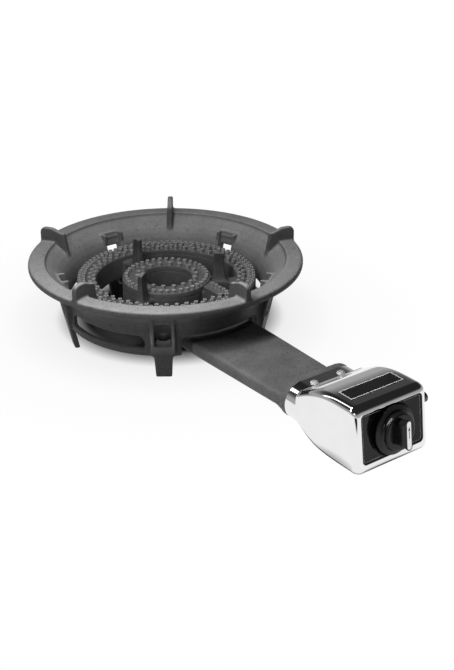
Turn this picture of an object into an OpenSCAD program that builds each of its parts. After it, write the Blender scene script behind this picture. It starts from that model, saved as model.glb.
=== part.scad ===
// Tabletop wok burner. The burner's axis is Z, the table is z = 0, and the arm
// and its control box run towards -Y. Sizes are in millimetres.

/* [Stand] */
// Outer radius of the rim
rim_r = 155; // [150:1:165]
// Height of the rim's top face over the table
rim_top = 97; // [94:1:102]
// Width of the rim's flat top face
rim_w = 19; // [16:1:21]
// Thickness of the rim's lip
rim_lip_t = 8; // [6:0.5:9]
// Drop from the rim's face to the bowl
rim_step = 2.5; // [1.5:0.5:3.5]
// Wall thickness of the bowl and the skirt
wall_t = 5; // [4:0.5:6]
// Free gap between the burner and the bowl
burner_gap = 8.5; // [7:0.5:10]
// Height of the skirt's lower edge
skirt_low = 27; // [24:1:29]
// Lower and upper edges of the slots between the legs
slot_low = 36; // [34:1:38]
slot_high = 50; // [48:1:53]
// Width of the skirt that stays solid at each leg
frame_w = 40; // [36:1:42]

/* [Legs] */
// Set-back of the legs at the table from the skirt's face
foot_set_back = 4; // [2:0.5:6]
// Lean of the legs, in degrees
leg_lean = 12; // [10:0.5:13]
// Width of a leg at the table
foot_w = 17.4; // [15:0.2:19]
// Width of a leg where it leaves the skirt
leg_w = 20.4; // [19.5:0.2:22]
// Thickness of a leg
leg_t = 6; // [5:0.5:8]
// Width of the window in each leg
window_w = 18.5; // [16:0.5:19]
// Lower and upper edges of the window
window_low = 40; // [38:1:42]
window_high = 66; // [62:1:70]
// Thickness of the ribs beside the window
rib_t = 3.8; // [3:0.2:5]
// How far the ribs stand proud of the face over the window
rib_proud = 2.5; // [1.5:0.5:3.5]

/* [Wok fins] */
// Thickness of a fin
fin_t = 6.2; // [5:0.2:7]
// Rise of a fin over the rim
fin_rise = 16.5; // [13:0.5:18]
// Length of a fin's top, inwards from the rim's edge
fin_len = 31; // [27:1:34]

/* [Burner rings] */
// Outer radius of the outer ring
outer_ring_r = 102; // [99:0.5:104]
// Width of the outer ring
outer_ring_w = 21.7; // [20.5:0.1:23]
// Outer radius of the inner ring
inner_ring_r = 50.4; // [49:0.2:52]
// Width of the inner ring
inner_ring_w = 21.4; // [20:0.2:22.4]
// Height of the rings' top face
ring_top = 70; // [68:0.5:72]
// Thickness of a ring's cap
cap_t = 5; // [4:0.5:6]
// Height and width of the lip along the inner ring's edges
lip_h = 1; // [0.6:0.1:1.4]
lip_w = 1.6; // [1.2:0.1:2]
// Height of a jet stud
stud_h = 4; // [3:0.5:5]
// Radius of a stud at its foot and at its top
stud_foot_r = 2.7; // [2.5:0.1:2.9]
stud_top_r = 2.3; // [2.1:0.1:2.4]
// Radius of a stud's flame hole
jet_r = 0.9; // [0.7:0.05:1.1]
// Studs in each row at the outer ring's outer edge
outer_studs = 84; // [76:1:86]
// Studs in each row at the outer ring's inner edge
middle_studs = 48; // [42:1:50]
// Studs in the inner ring's outer row
inner_studs = 38; // [34:1:40]
// Studs in the row round the centre hole
centre_studs = 18; // [15:1:20]

/* [Burner casting] */
// Wall thickness of the gas channels
channel_t = 4; // [3.5:0.1:4.5]
// Height of the arm's top face
arm_top = 44; // [43:0.5:45]
// Thickness of the arm
arm_t = 17.5; // [16:0.5:19]
// Half width of the arm beside the burner and at the collar
arm_half = 43; // [41:0.5:44]
arm_end_half = 38; // [36:0.5:39]
// Distance from the burner's axis to the end of the collar
arm_len = 270; // [262:1:280]
// Radius at which the pan posts stand
post_at = 60; // [58:0.5:64]
// Height of the pan posts' tops
post_top = 98; // [90:0.5:102]
// Length and thickness of a post at its top
post_len = 11; // [9:0.5:12]
post_t = 5.4; // [4.4:0.2:6.4]
// Width of the spokes under the posts
spoke_w = 15; // [12:0.5:17]

/* [Control box] */
// Half width of the box
box_half = 45; // [44:0.5:47]
// Height of the box's top and its underside
box_top = 79.5; // [78:0.5:82]
box_low = 13.7; // [12.7:0.1:15]
// Distance from the collar's end to the middle of the fascia
box_len = 102.2; // [98:0.2:108]
// Lean of the fascia, in degrees
lean = 8; // [5:0.5:10]
// Thickness of the box's sheet
sheet_t = 1.2; // [1:0.1:1.5]
// Radius of the neck's rounded sides
neck_r = 20; // [19:0.5:20.5]
// Height of the neck's middle
neck_z = 41.4; // [41:0.1:42.4]
// Half width and half height of the front opening
open_half_w = 38.3; // [36:0.1:39]
open_half_h = 25; // [24:0.5:26]
// Height of the knob's axis at the fascia
knob_z = 48; // [47:0.5:49]

/* [Knob] */
// Radius of the knob's skirt
knob_r = 24.3; // [22:0.1:24.6]
// Travel of the knob when it is pressed
press = 3.5; // [2.5:0.5:3.5]
// How far the knob's nose stands out of the fascia
knob_out = 22.5; // [20:0.5:25]
// Length of the grip bar at its nose
grip_len = 30.5; // [27:0.5:32]
// Width of the grip bar at its nose
grip_w = 8; // [7.4:0.2:9]
// Radius of the spindle
spindle_r = 4; // [3.6:0.1:4.2]

/* [Gas inlet] */
// Reach of the hose nozzle from the box's middle
inlet_reach = 70; // [68:0.5:80]
// Radius of the hose nozzle's straight part
nozzle_r = 5.2; // [4.6:0.1:5.6]
// Depth of the grooves that grip the hose
groove_depth = 0.7; // [0.4:0.1:1]

/* [Hidden] */

iron = "dimgray";
steel = "silver";
chrome = "gainsboro";
brass = "goldenrod";
black = "black";

leg_n = 5;
leg_step = 360 / leg_n;
leg_first = 18;
fin_first = leg_first + leg_step / 2;
arm_dir = 270;
fit = 0.3;
run_fit = 0.05;
eps = 0.5;

rim_in_r = rim_r - rim_w;
bowl_r = outer_ring_r + burner_gap;
skirt_r = bowl_r + wall_t;
foot_r = skirt_r - foot_set_back;
bowl_low = 60;
bowl_steps = 6;

// Radius of a leg's outer face at height z
function leg_out(z) = foot_r + z * tan(leg_lean);
// Point at t of the curve that leaves a towards b and ends at c
function curve(a, b, c, t) = (1 - t) * (1 - t) * a + 2 * t * (1 - t) * b + t * t * c;
function curve_points(a, b, c, n) = [for (i = [0 : n]) curve(a, b, c, i / n)];
// Points of an arc round centre c
function arc(c, r, a0, a1, n) = [for (i = [0 : n]) c
  + r * [cos(a0 + (a1 - a0) * i / n), sin(a0 + (a1 - a0) * i / n)]];

// Copies round the burner's axis, from the angle first on
module around(n, first) {
  for (i = [0 : n - 1]) rotate([0, 0, first + i * 360 / n]) children();
}

// Profile in radius and height, set upright in the XZ plane and w thick
module upright(w) {
  rotate([90, 0, 0]) linear_extrude(w, center = true) children();
}

// Rounded bar in the plane, from two circles and the strip between them
module obround(half_w, r) {
  square([2 * (half_w - r), 2 * r], center = true);
  for (s = [-1, 1]) translate([s * (half_w - r), 0]) circle(r, $fn = 64);
}

module round_rect(half_w, half_h, r) {
  square([2 * half_w, 2 * (half_h - r)], center = true);
  square([2 * (half_w - r), 2 * half_h], center = true);
  for (sx = [-1, 1], sy = [-1, 1]) translate([sx * (half_w - r), sy * (half_h - r)]) circle(r, $fn = 48);
}

// Slab in the plane y = at, with thickness t towards +Y, from a shape drawn in X and Z
module slab(at, t) {
  translate([0, at + t, 0]) rotate([90, 0, 0]) linear_extrude(t) children();
}

// The stand

bowl_top_z = rim_top - rim_step;
bowl_bend = [bowl_r + 2, rim_top - 18];
bowl_out_bend = [skirt_r + 3, rim_top - 24];

module bowl_profile() {
  polygon(concat(
    curve_points([rim_in_r, bowl_top_z], bowl_bend, [bowl_r, bowl_low], bowl_steps),
    [[bowl_r, skirt_low], [skirt_r, skirt_low]],
    curve_points([skirt_r, bowl_low - 2], bowl_out_bend, [rim_in_r + 7, rim_top - rim_lip_t], bowl_steps),
    [[rim_r - 1.5, rim_top - rim_lip_t], [rim_r, rim_top - rim_lip_t + 1.5]],
    arc([rim_r - 3, rim_top - 3], 3, 0, 90, 4),
    [[rim_in_r, rim_top]]
  ));
}

// Sector of the plane between two angles, out past the skirt
module sector(a0, a1) {
  far = skirt_r + 20;
  polygon(concat([[0, 0]], [for (i = [0 : 3]) far * [cos(a0 + (a1 - a0) * i / 3),
    sin(a0 + (a1 - a0) * i / 3)]]));
}

// Slot through the skirt between two legs, round in its upper corners
module slot_cut(low) {
  frame_a = asin(frame_w / 2 / skirt_r);
  corner_r = (slot_high - slot_low) / 2;
  corner_a = asin((corner_r + 0.4) / skirt_r);
  end_a = leg_step - frame_a;
  intersection() {
    band(bowl_r - 1, skirt_r + 1, low, slot_high - low);
    union() {
      translate([0, 0, low - 1]) linear_extrude(slot_high - corner_r - low + 1) sector(frame_a, end_a);
      translate([0, 0, low - 1]) linear_extrude(slot_high - low + 2)
        sector(frame_a + corner_a, end_a - corner_a);
      for (a = [frame_a + corner_a, end_a - corner_a]) rotate([0, 0, a])
        translate([bowl_r - 2, 0, slot_high - corner_r - 0.3]) rotate([0, 90, 0])
          cylinder(h = wall_t + 4, r = corner_r, $fn = 48);
    }
  }
}

leg_seat = leg_out(0) - leg_t;
plate_low = window_high + 5;

module leg() {
  upper_w = window_w + 2 * rib_t;
  leg_top = rim_top - 11;
  flare_top = skirt_low + 2.5;
  rib_low = skirt_low + 0.8;
  intersection() {
    upright(2 * leg_w) polygon([
      [leg_seat, 0], [leg_out(0), 0], [leg_out(window_low), window_low],
        [leg_out(window_low) - leg_t, window_low]
    ]);
    rotate([90, 0, 90]) linear_extrude(rim_r) polygon([
      [-foot_w / 2, 0], [foot_w / 2, 0], [leg_w / 2, flare_top], [leg_w / 2, window_low],
      [-leg_w / 2, window_low], [-leg_w / 2, flare_top]
    ]);
  }
  for (s = [-1, 1]) translate([0, s * (window_w + rib_t) / 2, 0]) upright(rib_t) polygon([
    [skirt_r - 1, rib_low], [leg_out(rib_low), rib_low], [leg_out(leg_top), leg_top], [skirt_r - 1, leg_top]
  ]);
  upright(upper_w - rib_t) polygon([
    [leg_out(plate_low) - rib_proud - wall_t, plate_low], [leg_out(window_high) - rib_proud, window_high],
    [leg_out(leg_top) - rib_proud, leg_top], [leg_out(leg_top) - rib_proud - wall_t, leg_top]
  ]);
}

// Opening through the bowl's wall behind a leg's window and face
module window_cut() {
  top = rim_top - 17;
  upright(window_w) polygon([
    [bowl_r - 4, window_low], [leg_out(window_low) + 1, window_low],
      [leg_out(window_high) + 1, window_high],
    [leg_out(plate_low) - rib_proud - wall_t, plate_low], [leg_out(top) - rib_proud - wall_t, top],
    [bowl_r - 4, top]
  ]);
}

module fin() {
  top = rim_top + fin_rise;
  in_r = rim_r - fin_len;
  out_r = rim_r - 0.6;
  corner = 6;
  flat_to = rim_r - 15;
  upright(fin_t) polygon(concat(
    [[out_r, rim_top - rim_lip_t + 2]],
    arc([out_r - corner, top - corner], corner, 0, 90, 6),
    [[flat_to, top - 0.2]],
    arc([in_r + 3, top - 8], 3, 70, 180, 5),
    [[in_r - 5, rim_top - 20], [bowl_r + wall_t + 6, rim_top - 22], [rim_in_r + 7, rim_top - rim_lip_t + 1]]
  ));
}

// Seats for the burner, at the legs beside the arm and the one opposite
lug_dirs = [leg_first + leg_step, leg_first + 3 * leg_step, leg_first + 4 * leg_step];
lug_top = 40;
lug_h = 8;
lug_w = 16;
lug_in_r = outer_ring_r - 12;
bolt_at = outer_ring_r - 5;
bolt_r = 3;

module lug() {
  translate([lug_in_r, -lug_w / 2, lug_top - lug_h]) cube([bowl_r + 1 - lug_in_r, lug_w, lug_h]);
}

module wok_stand() {
  color(iron) difference() {
    union() {
      rotate_extrude($fn = 144) bowl_profile();
      around(leg_n, leg_first) leg();
      around(leg_n, fin_first) fin();
      for (a = lug_dirs) rotate([0, 0, a]) lug();
    }
    around(leg_n, leg_first) window_cut();
    for (i = [0 : leg_n - 2]) rotate([0, 0, leg_first - leg_step + i * leg_step]) slot_cut(slot_low);
    rotate([0, 0, arm_dir - leg_step / 2]) slot_cut(skirt_low - 1);
    for (a = lug_dirs) rotate([0, 0, a]) translate([bolt_at, 0, lug_top - lug_h - 1])
      cylinder(h = lug_h + 2, r = bolt_r + fit, $fn = 32);
  }
}

// The burner's caps

cap_low = ring_top - cap_t;
outer_in_r = outer_ring_r - outer_ring_w;
inner_in_r = inner_ring_r - inner_ring_w;
key_t = 2.5;
key_h = 2.5;
stud_sink = 0.8;

// Stud centres stand this far inside a ring's edge
edge_gap = stud_foot_r + 0.2;
row_step = 4.5;

bridge_x = 26;
bridge_half = 8.5;
bridge_stud_x = 27.5;
bridge_studs = 4;
bridge_from = 51.5;
bridge_pitch = 7;

module at_row(r, n, turned) {
  for (i = [0 : n - 1]) rotate([0, 0, arm_dir + (i + turned) * 360 / n]) translate([r, 0, 0]) children();
}

module outer_rows() {
  at_row(outer_ring_r - edge_gap, outer_studs, 0) children();
  at_row(outer_ring_r - edge_gap - row_step, outer_studs, 0.5) children();
  at_row(outer_in_r + edge_gap + row_step, middle_studs, 0) children();
  at_row(outer_in_r + edge_gap, middle_studs, 0.5) children();
  for (i = [0 : bridge_studs - 1]) translate([bridge_stud_x, -bridge_from - i * bridge_pitch, 0])
    children();
}

module inner_rows() {
  at_row(inner_ring_r - edge_gap - lip_w, inner_studs, 0.5) children();
  at_row(inner_in_r + edge_gap + lip_w, centre_studs, 0) children();
}

module stud() {
  translate([0, 0, ring_top - stud_sink])
    cylinder(h = stud_h + stud_sink, r1 = stud_foot_r, r2 = stud_top_r, $fn = 20);
}

module jet_hole() {
  translate([0, 0, cap_low - 1]) cylinder(h = cap_t + stud_h + 2, r = jet_r, $fn = 16);
}

// Ring of rectangular section
module band(r_in, r_out, z, h) {
  translate([0, 0, z]) linear_extrude(h) difference() {
    circle(r_out, $fn = 180);
    circle(r_in, $fn = 180);
  }
}

module ring_cap(r_in, r_out) {
  band(r_in, r_out, cap_low, cap_t);
  band(r_in + channel_t + fit, r_in + channel_t + fit + key_t, cap_low - key_h, key_h + 1);
}

// Tongue that carries the flame from ring to ring, in its plan
module bridge_plan(half) {
  difference() {
    translate([bridge_x - half, -outer_in_r - 2]) square([2 * half, outer_in_r + 2 - inner_ring_r / 2]);
    circle(inner_ring_r + fit, $fn = 180);
  }
}

module outer_burner_ring() {
  color(iron) difference() {
    union() {
      ring_cap(outer_in_r, outer_ring_r);
      translate([0, 0, cap_low]) linear_extrude(cap_t) bridge_plan(bridge_half);
      outer_rows() stud();
    }
    outer_rows() jet_hole();
  }
}

module inner_burner_ring() {
  color(iron) difference() {
    union() {
      ring_cap(inner_in_r, inner_ring_r);
      band(inner_in_r, inner_in_r + lip_w, ring_top - stud_sink, lip_h + stud_sink);
      band(inner_ring_r - lip_w, inner_ring_r, ring_top - stud_sink, lip_h + stud_sink);
      inner_rows() stud();
    }
    inner_rows() jet_hole();
  }
}

// The burner's casting with its arm

trough_low = arm_top - 1;
arm_low = arm_top - arm_t;
tube_z = arm_top - arm_t / 2;
tube_x = 20;
tube_half = 12;
tube_r = 5.4;
mouth_r = 8;
mouth_z = tube_z + 1.2;
mouth_len = 20;
collar_t = 8;
spigot_len = 16;
spigot_t = 5;
deep_len = 22;

module trough(r_in, r_out) {
  difference() {
    band(r_in, r_out, trough_low, cap_low - trough_low);
    band(r_in + channel_t, r_out - channel_t, trough_low + channel_t, cap_low);
  }
}

// Section of the arm, rounded at its shoulders and more so below
module arm_section(half) {
  top_r = 4;
  low_r = 8;
  translate([0, arm_top - top_r]) {
    square([2 * (half - top_r), 2 * top_r], center = true);
    for (s = [-1, 1]) translate([s * (half - top_r), 0]) circle(top_r, $fn = 32);
  }
  translate([0, arm_low + low_r]) {
    square([2 * (half - low_r), 2 * low_r], center = true);
    for (s = [-1, 1]) translate([s * (half - low_r), 0]) circle(low_r, $fn = 32);
  }
}

module arm_solid() {
  hull() {
    slab(-arm_len + collar_t - 1, 1) arm_section(arm_end_half);
    slab(-outer_ring_r - 20, 1) arm_section(arm_half);
  }
  hull() {
    slab(-outer_ring_r - 21, 1) arm_section(arm_half);
    slab(-outer_in_r + 12, 1) arm_section(arm_half);
    slab(-inner_ring_r + 14, 1) arm_section(arm_half - 14);
  }
  // The tubes deepen just before the collar
  hull() {
    slab(-arm_len + collar_t - 1, 1) translate([0, arm_top - 13.5]) obround(arm_end_half, 11);
    slab(-arm_len + collar_t + deep_len, 1) translate([0, arm_top - 11]) obround(arm_end_half - 3, 9);
  }
}

// Gas-way of one mixing tube, flared through the collar
module tube_bore(x, to_r) {
  slab(-arm_len + mouth_len, arm_len - mouth_len - to_r) translate([x, tube_z]) obround(tube_half, tube_r);
  translate([x, -arm_len, mouth_z]) rotate([-90, 0, 0]) {
    translate([0, 0, -1]) cylinder(h = 3, r = mouth_r, $fn = 48);
    translate([0, 0, 1.5]) cylinder(h = collar_t - 1.5, r1 = mouth_r, r2 = tube_r, $fn = 48);
  }
  translate([x, -arm_len + collar_t - 1, tube_z]) rotate([-90, 0, 0])
    cylinder(h = mouth_len - collar_t + 2, r = tube_r, $fn = 48);
}

spoke_top = cap_low - 2;
post_dirs = [arm_dir + 60, arm_dir + 180, arm_dir - 60];

module spoke() {
  translate([inner_ring_r - channel_t, -spoke_w / 2, trough_low])
    cube([outer_in_r - inner_ring_r + 2 * channel_t, spoke_w, spoke_top - trough_low]);
}

// Half widths of a post from its foot up, for half widths foot, waist and top
function post_side(foot, waist, top) = concat(
  [[foot, trough_low], [foot, spoke_top - 1]],
  curve_points([foot, spoke_top], [waist + 0.6, spoke_top + 1.5], [waist, ring_top + 4], 6),
  [[top, post_top]]
);
function mirrored(side) = concat(side, [for (i = [len(side) - 1 : -1 : 0]) [-side[i][0], side[i][1]]]);

// Post that carries a flat pan: a tapered blade on a flared foot, its top falling outwards
module post() {
  reach = 12;
  translate([post_at, 0, 0]) difference() {
    intersection() {
      upright(2 * reach) polygon(mirrored(post_side(10.8, post_len / 2 + 1, post_len / 2)));
      rotate([90, 0, 90]) linear_extrude(2 * reach, center = true)
        polygon(mirrored(post_side(spoke_w / 2 - 0.2, post_t / 2 + 1, post_t / 2)));
    }
    upright(2 * reach) polygon([[-reach, post_top], [0, post_top], [reach, post_top - 4],
      [reach, post_top + 4], [-reach, post_top + 4]]);
  }
}

// Channel under the bridge between the two troughs
module bridge_channel() {
  wall = 3.5;
  difference() {
    translate([0, 0, trough_low]) linear_extrude(cap_low - trough_low) intersection() {
      translate([bridge_x - bridge_half, -outer_in_r - channel_t])
        square([2 * bridge_half, outer_in_r + channel_t]);
      difference() {
        circle(outer_in_r + 1, $fn = 180);
        circle(inner_ring_r - 1, $fn = 180);
      }
    }
    translate([bridge_x - bridge_half + wall, -outer_in_r - channel_t - 1, trough_low + channel_t])
      cube([2 * (bridge_half - wall), outer_in_r, cap_low]);
  }
}

boss_r = 7;
// The electrode stands through the arm, just inside the outer ring
electrode_x = arm_half - 3.67;
electrode_at = [electrode_x, -sqrt(pow(outer_in_r - 7.3, 2) - electrode_x * electrode_x)];
electrode_r = 2.8;
neck_screw_x = 17;
neck_screw_in = 11;
neck_screw_y = -arm_len - neck_screw_in;
neck_screw_r = 2;
bracket_screw_x = 14;
bracket_screw_in = 10;
bracket_screw_y = -arm_len - bracket_screw_in;
shutter_screw_r = 2.5;
spigot_half = box_half - sheet_t - fit;
spigot_r = neck_r - sheet_t - fit;

module burner_manifold() {
  color(iron) difference() {
    union() {
      trough(outer_in_r, outer_ring_r);
      trough(inner_in_r, inner_ring_r);
      bridge_channel();
      for (a = post_dirs) rotate([0, 0, a]) {
        spoke();
        post();
      }
      arm_cut_free();
      for (a = lug_dirs) rotate([0, 0, a]) translate([bolt_at, 0, lug_top])
        cylinder(h = trough_low + channel_t - lug_top, r = boss_r, $fn = 48);
      slab(-arm_len, collar_t) translate([0, neck_z]) obround(box_half, neck_r);
      slab(-arm_len - spigot_len, spigot_len + 1) translate([0, neck_z]) difference() {
        obround(spigot_half, spigot_r);
        obround(spigot_half - spigot_t, spigot_r - spigot_t);
      }
    }
    tube_bore(-tube_x, outer_in_r + channel_t + 2);
    tube_bore(tube_x, inner_in_r + channel_t + 4);
    // Risers from the tubes into the two troughs
    translate([-tube_x, -outer_ring_r + outer_ring_w / 2, tube_z])
      cylinder(h = trough_low + channel_t + 1 - tube_z, r = outer_ring_w / 2 - channel_t - 0.2, $fn = 48);
    translate([tube_x, -inner_ring_r + inner_ring_w / 2 + 5, tube_z])
      cylinder(h = trough_low + channel_t + 1 - tube_z, r = 5, $fn = 48);
    for (a = lug_dirs) rotate([0, 0, a]) translate([bolt_at, 0, lug_top - 1])
      cylinder(h = 7, r = bolt_r + run_fit, $fn = 32);
    for (s = [-1, 1]) {
      translate([s * neck_screw_x, neck_screw_y, neck_z])
        cylinder(h = neck_r, r = neck_screw_r + run_fit, $fn = 32);
      translate([s * bracket_screw_x, bracket_screw_y, neck_z - neck_r])
        cylinder(h = neck_r, r = neck_screw_r + run_fit, $fn = 32);
    }
    translate([0, -arm_len - 1, mouth_z]) rotate([-90, 0, 0])
      cylinder(h = 7, r = shutter_screw_r + run_fit, $fn = 32);
    translate([electrode_at[0], electrode_at[1], arm_low - 1])
      cylinder(h = arm_t + 2, r = electrode_r + run_fit, $fn = 32);
  }
}

// The arm, open where the centre hole and the rings' gaps look down through the burner
module arm_cut_free() {
  difference() {
    arm_solid();
    translate([0, 0, arm_low - 1]) cylinder(h = arm_t + 2, r = inner_in_r, $fn = 96);
  }
}

// Bolts that hold the burner down on the stand's seats
module burner_bolts() {
  head_h = 4;
  color(steel) for (a = lug_dirs) rotate([0, 0, a]) translate([bolt_at, 0, lug_top - lug_h]) {
    translate([0, 0, -head_h]) cylinder(h = head_h, r = 5.5, $fn = 6);
    translate([0, 0, -eps]) cylinder(h = lug_h + 5 + eps, r = bolt_r, $fn = 32);
  }
}

// Ceramic rod with its wire, which lights the flame at the bridge
module spark_electrode() {
  tip_z = cap_low - 2;
  at = [electrode_at[0], electrode_at[1], 0];
  color("ivory") translate(at) {
    translate([0, 0, arm_low - 3]) cylinder(h = arm_top - arm_low + 3, r = electrode_r, $fn = 32);
    translate([0, 0, arm_top]) cylinder(h = 2.5, r = electrode_r + 1.5, $fn = 32);
    translate([0, 0, arm_top + 2]) cylinder(h = 10, r1 = electrode_r, r2 = electrode_r - 0.8, $fn = 32);
  }
  color(steel) translate(at) {
    translate([0, 0, arm_top + 11]) cylinder(h = tip_z - arm_top - 11, r = 0.9, $fn = 20);
    translate([0, 0, arm_low - 9]) cylinder(h = 7, r = 1.2, $fn = 20);
  }
}

// The control box

fascia_y = -arm_len - box_len;
front_wall = sheet_t;
neck_len = 18;

// Frame on the knob's axis: Z points out of the fascia, Y up along it, and the
// origin is where the axis meets the fascia's front face
module on_axis() {
  translate([0, fascia_y, knob_z]) rotate([90 - lean, 0, 0]) children();
}

// Point on the knob's axis, w out of the fascia
function axis_y(w) = fascia_y - w * cos(lean);
function axis_z(w) = knob_z + w * sin(lean);

front_edge_r = 6;
front_corner_r = 7;

// Outline of the box's leaning front at w on the knob's axis, drawn in by inset
module front_plate(w, inset) {
  low = (box_low + inset - axis_z(w)) / cos(lean);
  high = (box_top - inset - axis_z(w)) / cos(lean);
  on_axis() translate([0, (low + high) / 2, w]) linear_extrude(0.1)
    round_rect(box_half - inset, (high - low) / 2, front_corner_r - 0.4 * inset);
}

// Cross-section of the box at y, between heights low and high
module box_rib(y, half, low, high, r_low, r_high) {
  slab(y, 0.1) {
    for (s = [-1, 1]) {
      translate([s * (half - r_low), low + r_low]) circle(r_low, $fn = 32);
      translate([s * (half - r_high), high - r_high]) circle(r_high, $fn = 32);
    }
  }
}

// Solid of the box, drawn in by t on every side
module box_solid(t) {
  back = -arm_len - neck_len;
  half = box_half - t;
  hull() {
    box_rib(back + 1 - t, half, neck_z - neck_r + t, box_top - 16 - t, 17, 7);
    box_rib(back - 13, half, box_low + 4.5 + t, box_top - 8 - t, 10, 8);
    box_rib(back - 30, half, box_low + 1 + t, box_top - 2 - t, 5, 8);
    box_rib(back - 52, half, box_low + t, box_top - t, 3, 8);
    for (a = [0 : 22.5 : 90])
      front_plate(front_wall - 0.1 - t - (front_edge_r - t) * (1 - sin(a)),
        t + (front_edge_r - t) * (1 - cos(a)));
  }
}

inlet_w = -27.5;
inlet_up = 2;
inlet_y = axis_y(inlet_w) + inlet_up * sin(lean);
inlet_z = axis_z(inlet_w) + inlet_up * cos(lean);
inlet_hole_r = 9;
inlet_arm = 34;
base_lip = 10;
base_front_lip = 15;
base_back = 39;
foot_x = 32;
foot_y = axis_y(0) + 9;
foot_pad_r = 6;
foot_pad_h = 2.5;
foot_stem_r = 2.5;

label_half_w = 33.5;
label_half_l = 9.7;
label_y = fascia_y + 30.6;
label_t = 0.8;
label_sunk = 0.6;

module housing_openings() {
  on_axis() translate([0, 0, -front_wall]) linear_extrude(3 * front_wall + 1)
    round_rect(open_half_w, open_half_h, 4.5);
  translate([-box_half + base_lip, fascia_y + base_front_lip, box_low - 1])
    cube([2 * (box_half - base_lip), base_back - 4 - base_front_lip, 3]);
  translate([box_half - 8, inlet_y, inlet_z]) rotate([0, 90, 0])
    cylinder(h = 16, r = inlet_hole_r, $fn = 48);
  for (s = [-1, 1]) {
    translate([s * neck_screw_x, neck_screw_y, neck_z])
      cylinder(h = 2 * neck_r, r = neck_screw_r + fit, $fn = 32);
    translate([s * foot_x, foot_y, box_low - 1]) cylinder(h = 4, r = foot_stem_r + run_fit, $fn = 32);
  }
  translate([-label_half_w - 0.2, label_y - label_half_l - 0.2, box_top - label_sunk])
    cube([2 * label_half_w + 0.4, 2 * label_half_l + 0.4, 5]);
}

module control_housing() {
  color(chrome) difference() {
    union() {
      slab(-arm_len - neck_len - 1, neck_len + 1 - fit) translate([0, neck_z]) obround(box_half, neck_r);
      box_solid(0);
    }
    slab(-arm_len - neck_len - 4, neck_len + 5) translate([0, neck_z])
      obround(box_half - sheet_t, neck_r - sheet_t);
    box_solid(sheet_t);
    housing_openings();
  }
}

module neck_screws() {
  color(chrome) for (s = [-1, 1]) translate([s * neck_screw_x, neck_screw_y, neck_z + neck_r])
    difference() {
    union() {
      translate([0, 0, -sheet_t - spigot_t]) cylinder(h = sheet_t + spigot_t + eps, r = neck_screw_r,
        $fn = 32);
      intersection() {
        cylinder(h = 2.6, r = 4.2, $fn = 48);
        translate([0, 0, -2.4]) sphere(r = 5, $fn = 48);
      }
    }
    translate([0, 0, 2.4]) cube([10, 1.1, 2], center = true);
  }
}

base_t = 1.5;
base_z = box_low + sheet_t + fit;

air_slot_pitch = 9;
air_slot_w = 3;
air_slot_len = 10;
air_slot_from = 17;

module base_plate() {
  color(black) difference() {
    translate([-box_half + base_lip - 4, fascia_y + 5, base_z])
      cube([2 * (box_half - base_lip + 4), base_back - 5, base_t]);
    for (s = [-1, 1]) {
      translate([s * foot_x, foot_y, base_z - 1])
        cylinder(h = base_t + 2, r = foot_stem_r + run_fit, $fn = 32);
      translate([s * strut_x, strut_y, base_z - 1])
        cylinder(h = base_t + 2, r = neck_screw_r + fit, $fn = 32);
    }
    for (i = [-2 : 2]) translate([i * air_slot_pitch - air_slot_w / 2, fascia_y + air_slot_from,
      base_z - 1])
      cube([air_slot_w, air_slot_len, base_t + 2]);
  }
}

module base_screws() {
  color(steel) for (s = [-1, 1]) translate([s * strut_x, strut_y, base_z]) {
    translate([0, 0, -2]) cylinder(h = 2, r = 3.8, $fn = 32);
    translate([0, 0, -eps]) cylinder(h = 6 + eps, r = neck_screw_r, $fn = 32);
  }
}

module rubber_feet() {
  color("darkslategray") for (s = [-1, 1]) translate([s * foot_x, foot_y, 0]) {
    translate([0, 0, box_low - foot_pad_h]) cylinder(h = foot_pad_h, r1 = foot_pad_r - 0.8,
      r2 = foot_pad_r, $fn = 48);
    translate([0, 0, box_low - eps]) cylinder(h = base_z + base_t - box_low + eps, r = foot_stem_r,
      $fn = 32);
    translate([0, 0, base_z + base_t]) cylinder(h = 2, r1 = foot_stem_r + 1.2, r2 = foot_stem_r, $fn = 32);
  }
}

// Pressed dish that the knob's skirt sinks into
dish_r = knob_r + 1.6;
dish_depth = 2;
fascia_t = 1.5;

module fascia_plate() {
  color(black) on_axis() difference() {
    union() {
      translate([0, 0, -fascia_t]) linear_extrude(fascia_t) difference() {
        round_rect(open_half_w + 0.4, open_half_h + 0.4, 4.8);
        circle(dish_r - 2, $fn = 96);
      }
      rotate_extrude($fn = 96) polygon([
        [spindle_r + 2, -dish_depth - fascia_t], [dish_r - 1, -dish_depth - fascia_t],
          [dish_r + 1, -fascia_t],
        [dish_r + 1, 0], [dish_r, 0], [dish_r - 1.5, -dish_depth], [spindle_r + 2, -dish_depth]
      ]);
    }
    rotate_extrude($fn = 96) polygon([
      [0, -dish_depth], [dish_r - 1.5, -dish_depth], [dish_r, 0], [dish_r, 1], [0, 1]
    ]);
  }
}

module top_plate() {
  color(black) translate([-label_half_w, label_y - label_half_l, box_top - label_sunk])
    cube([2 * label_half_w, 2 * label_half_l, label_t]);
}

// The valve and what carries it

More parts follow.
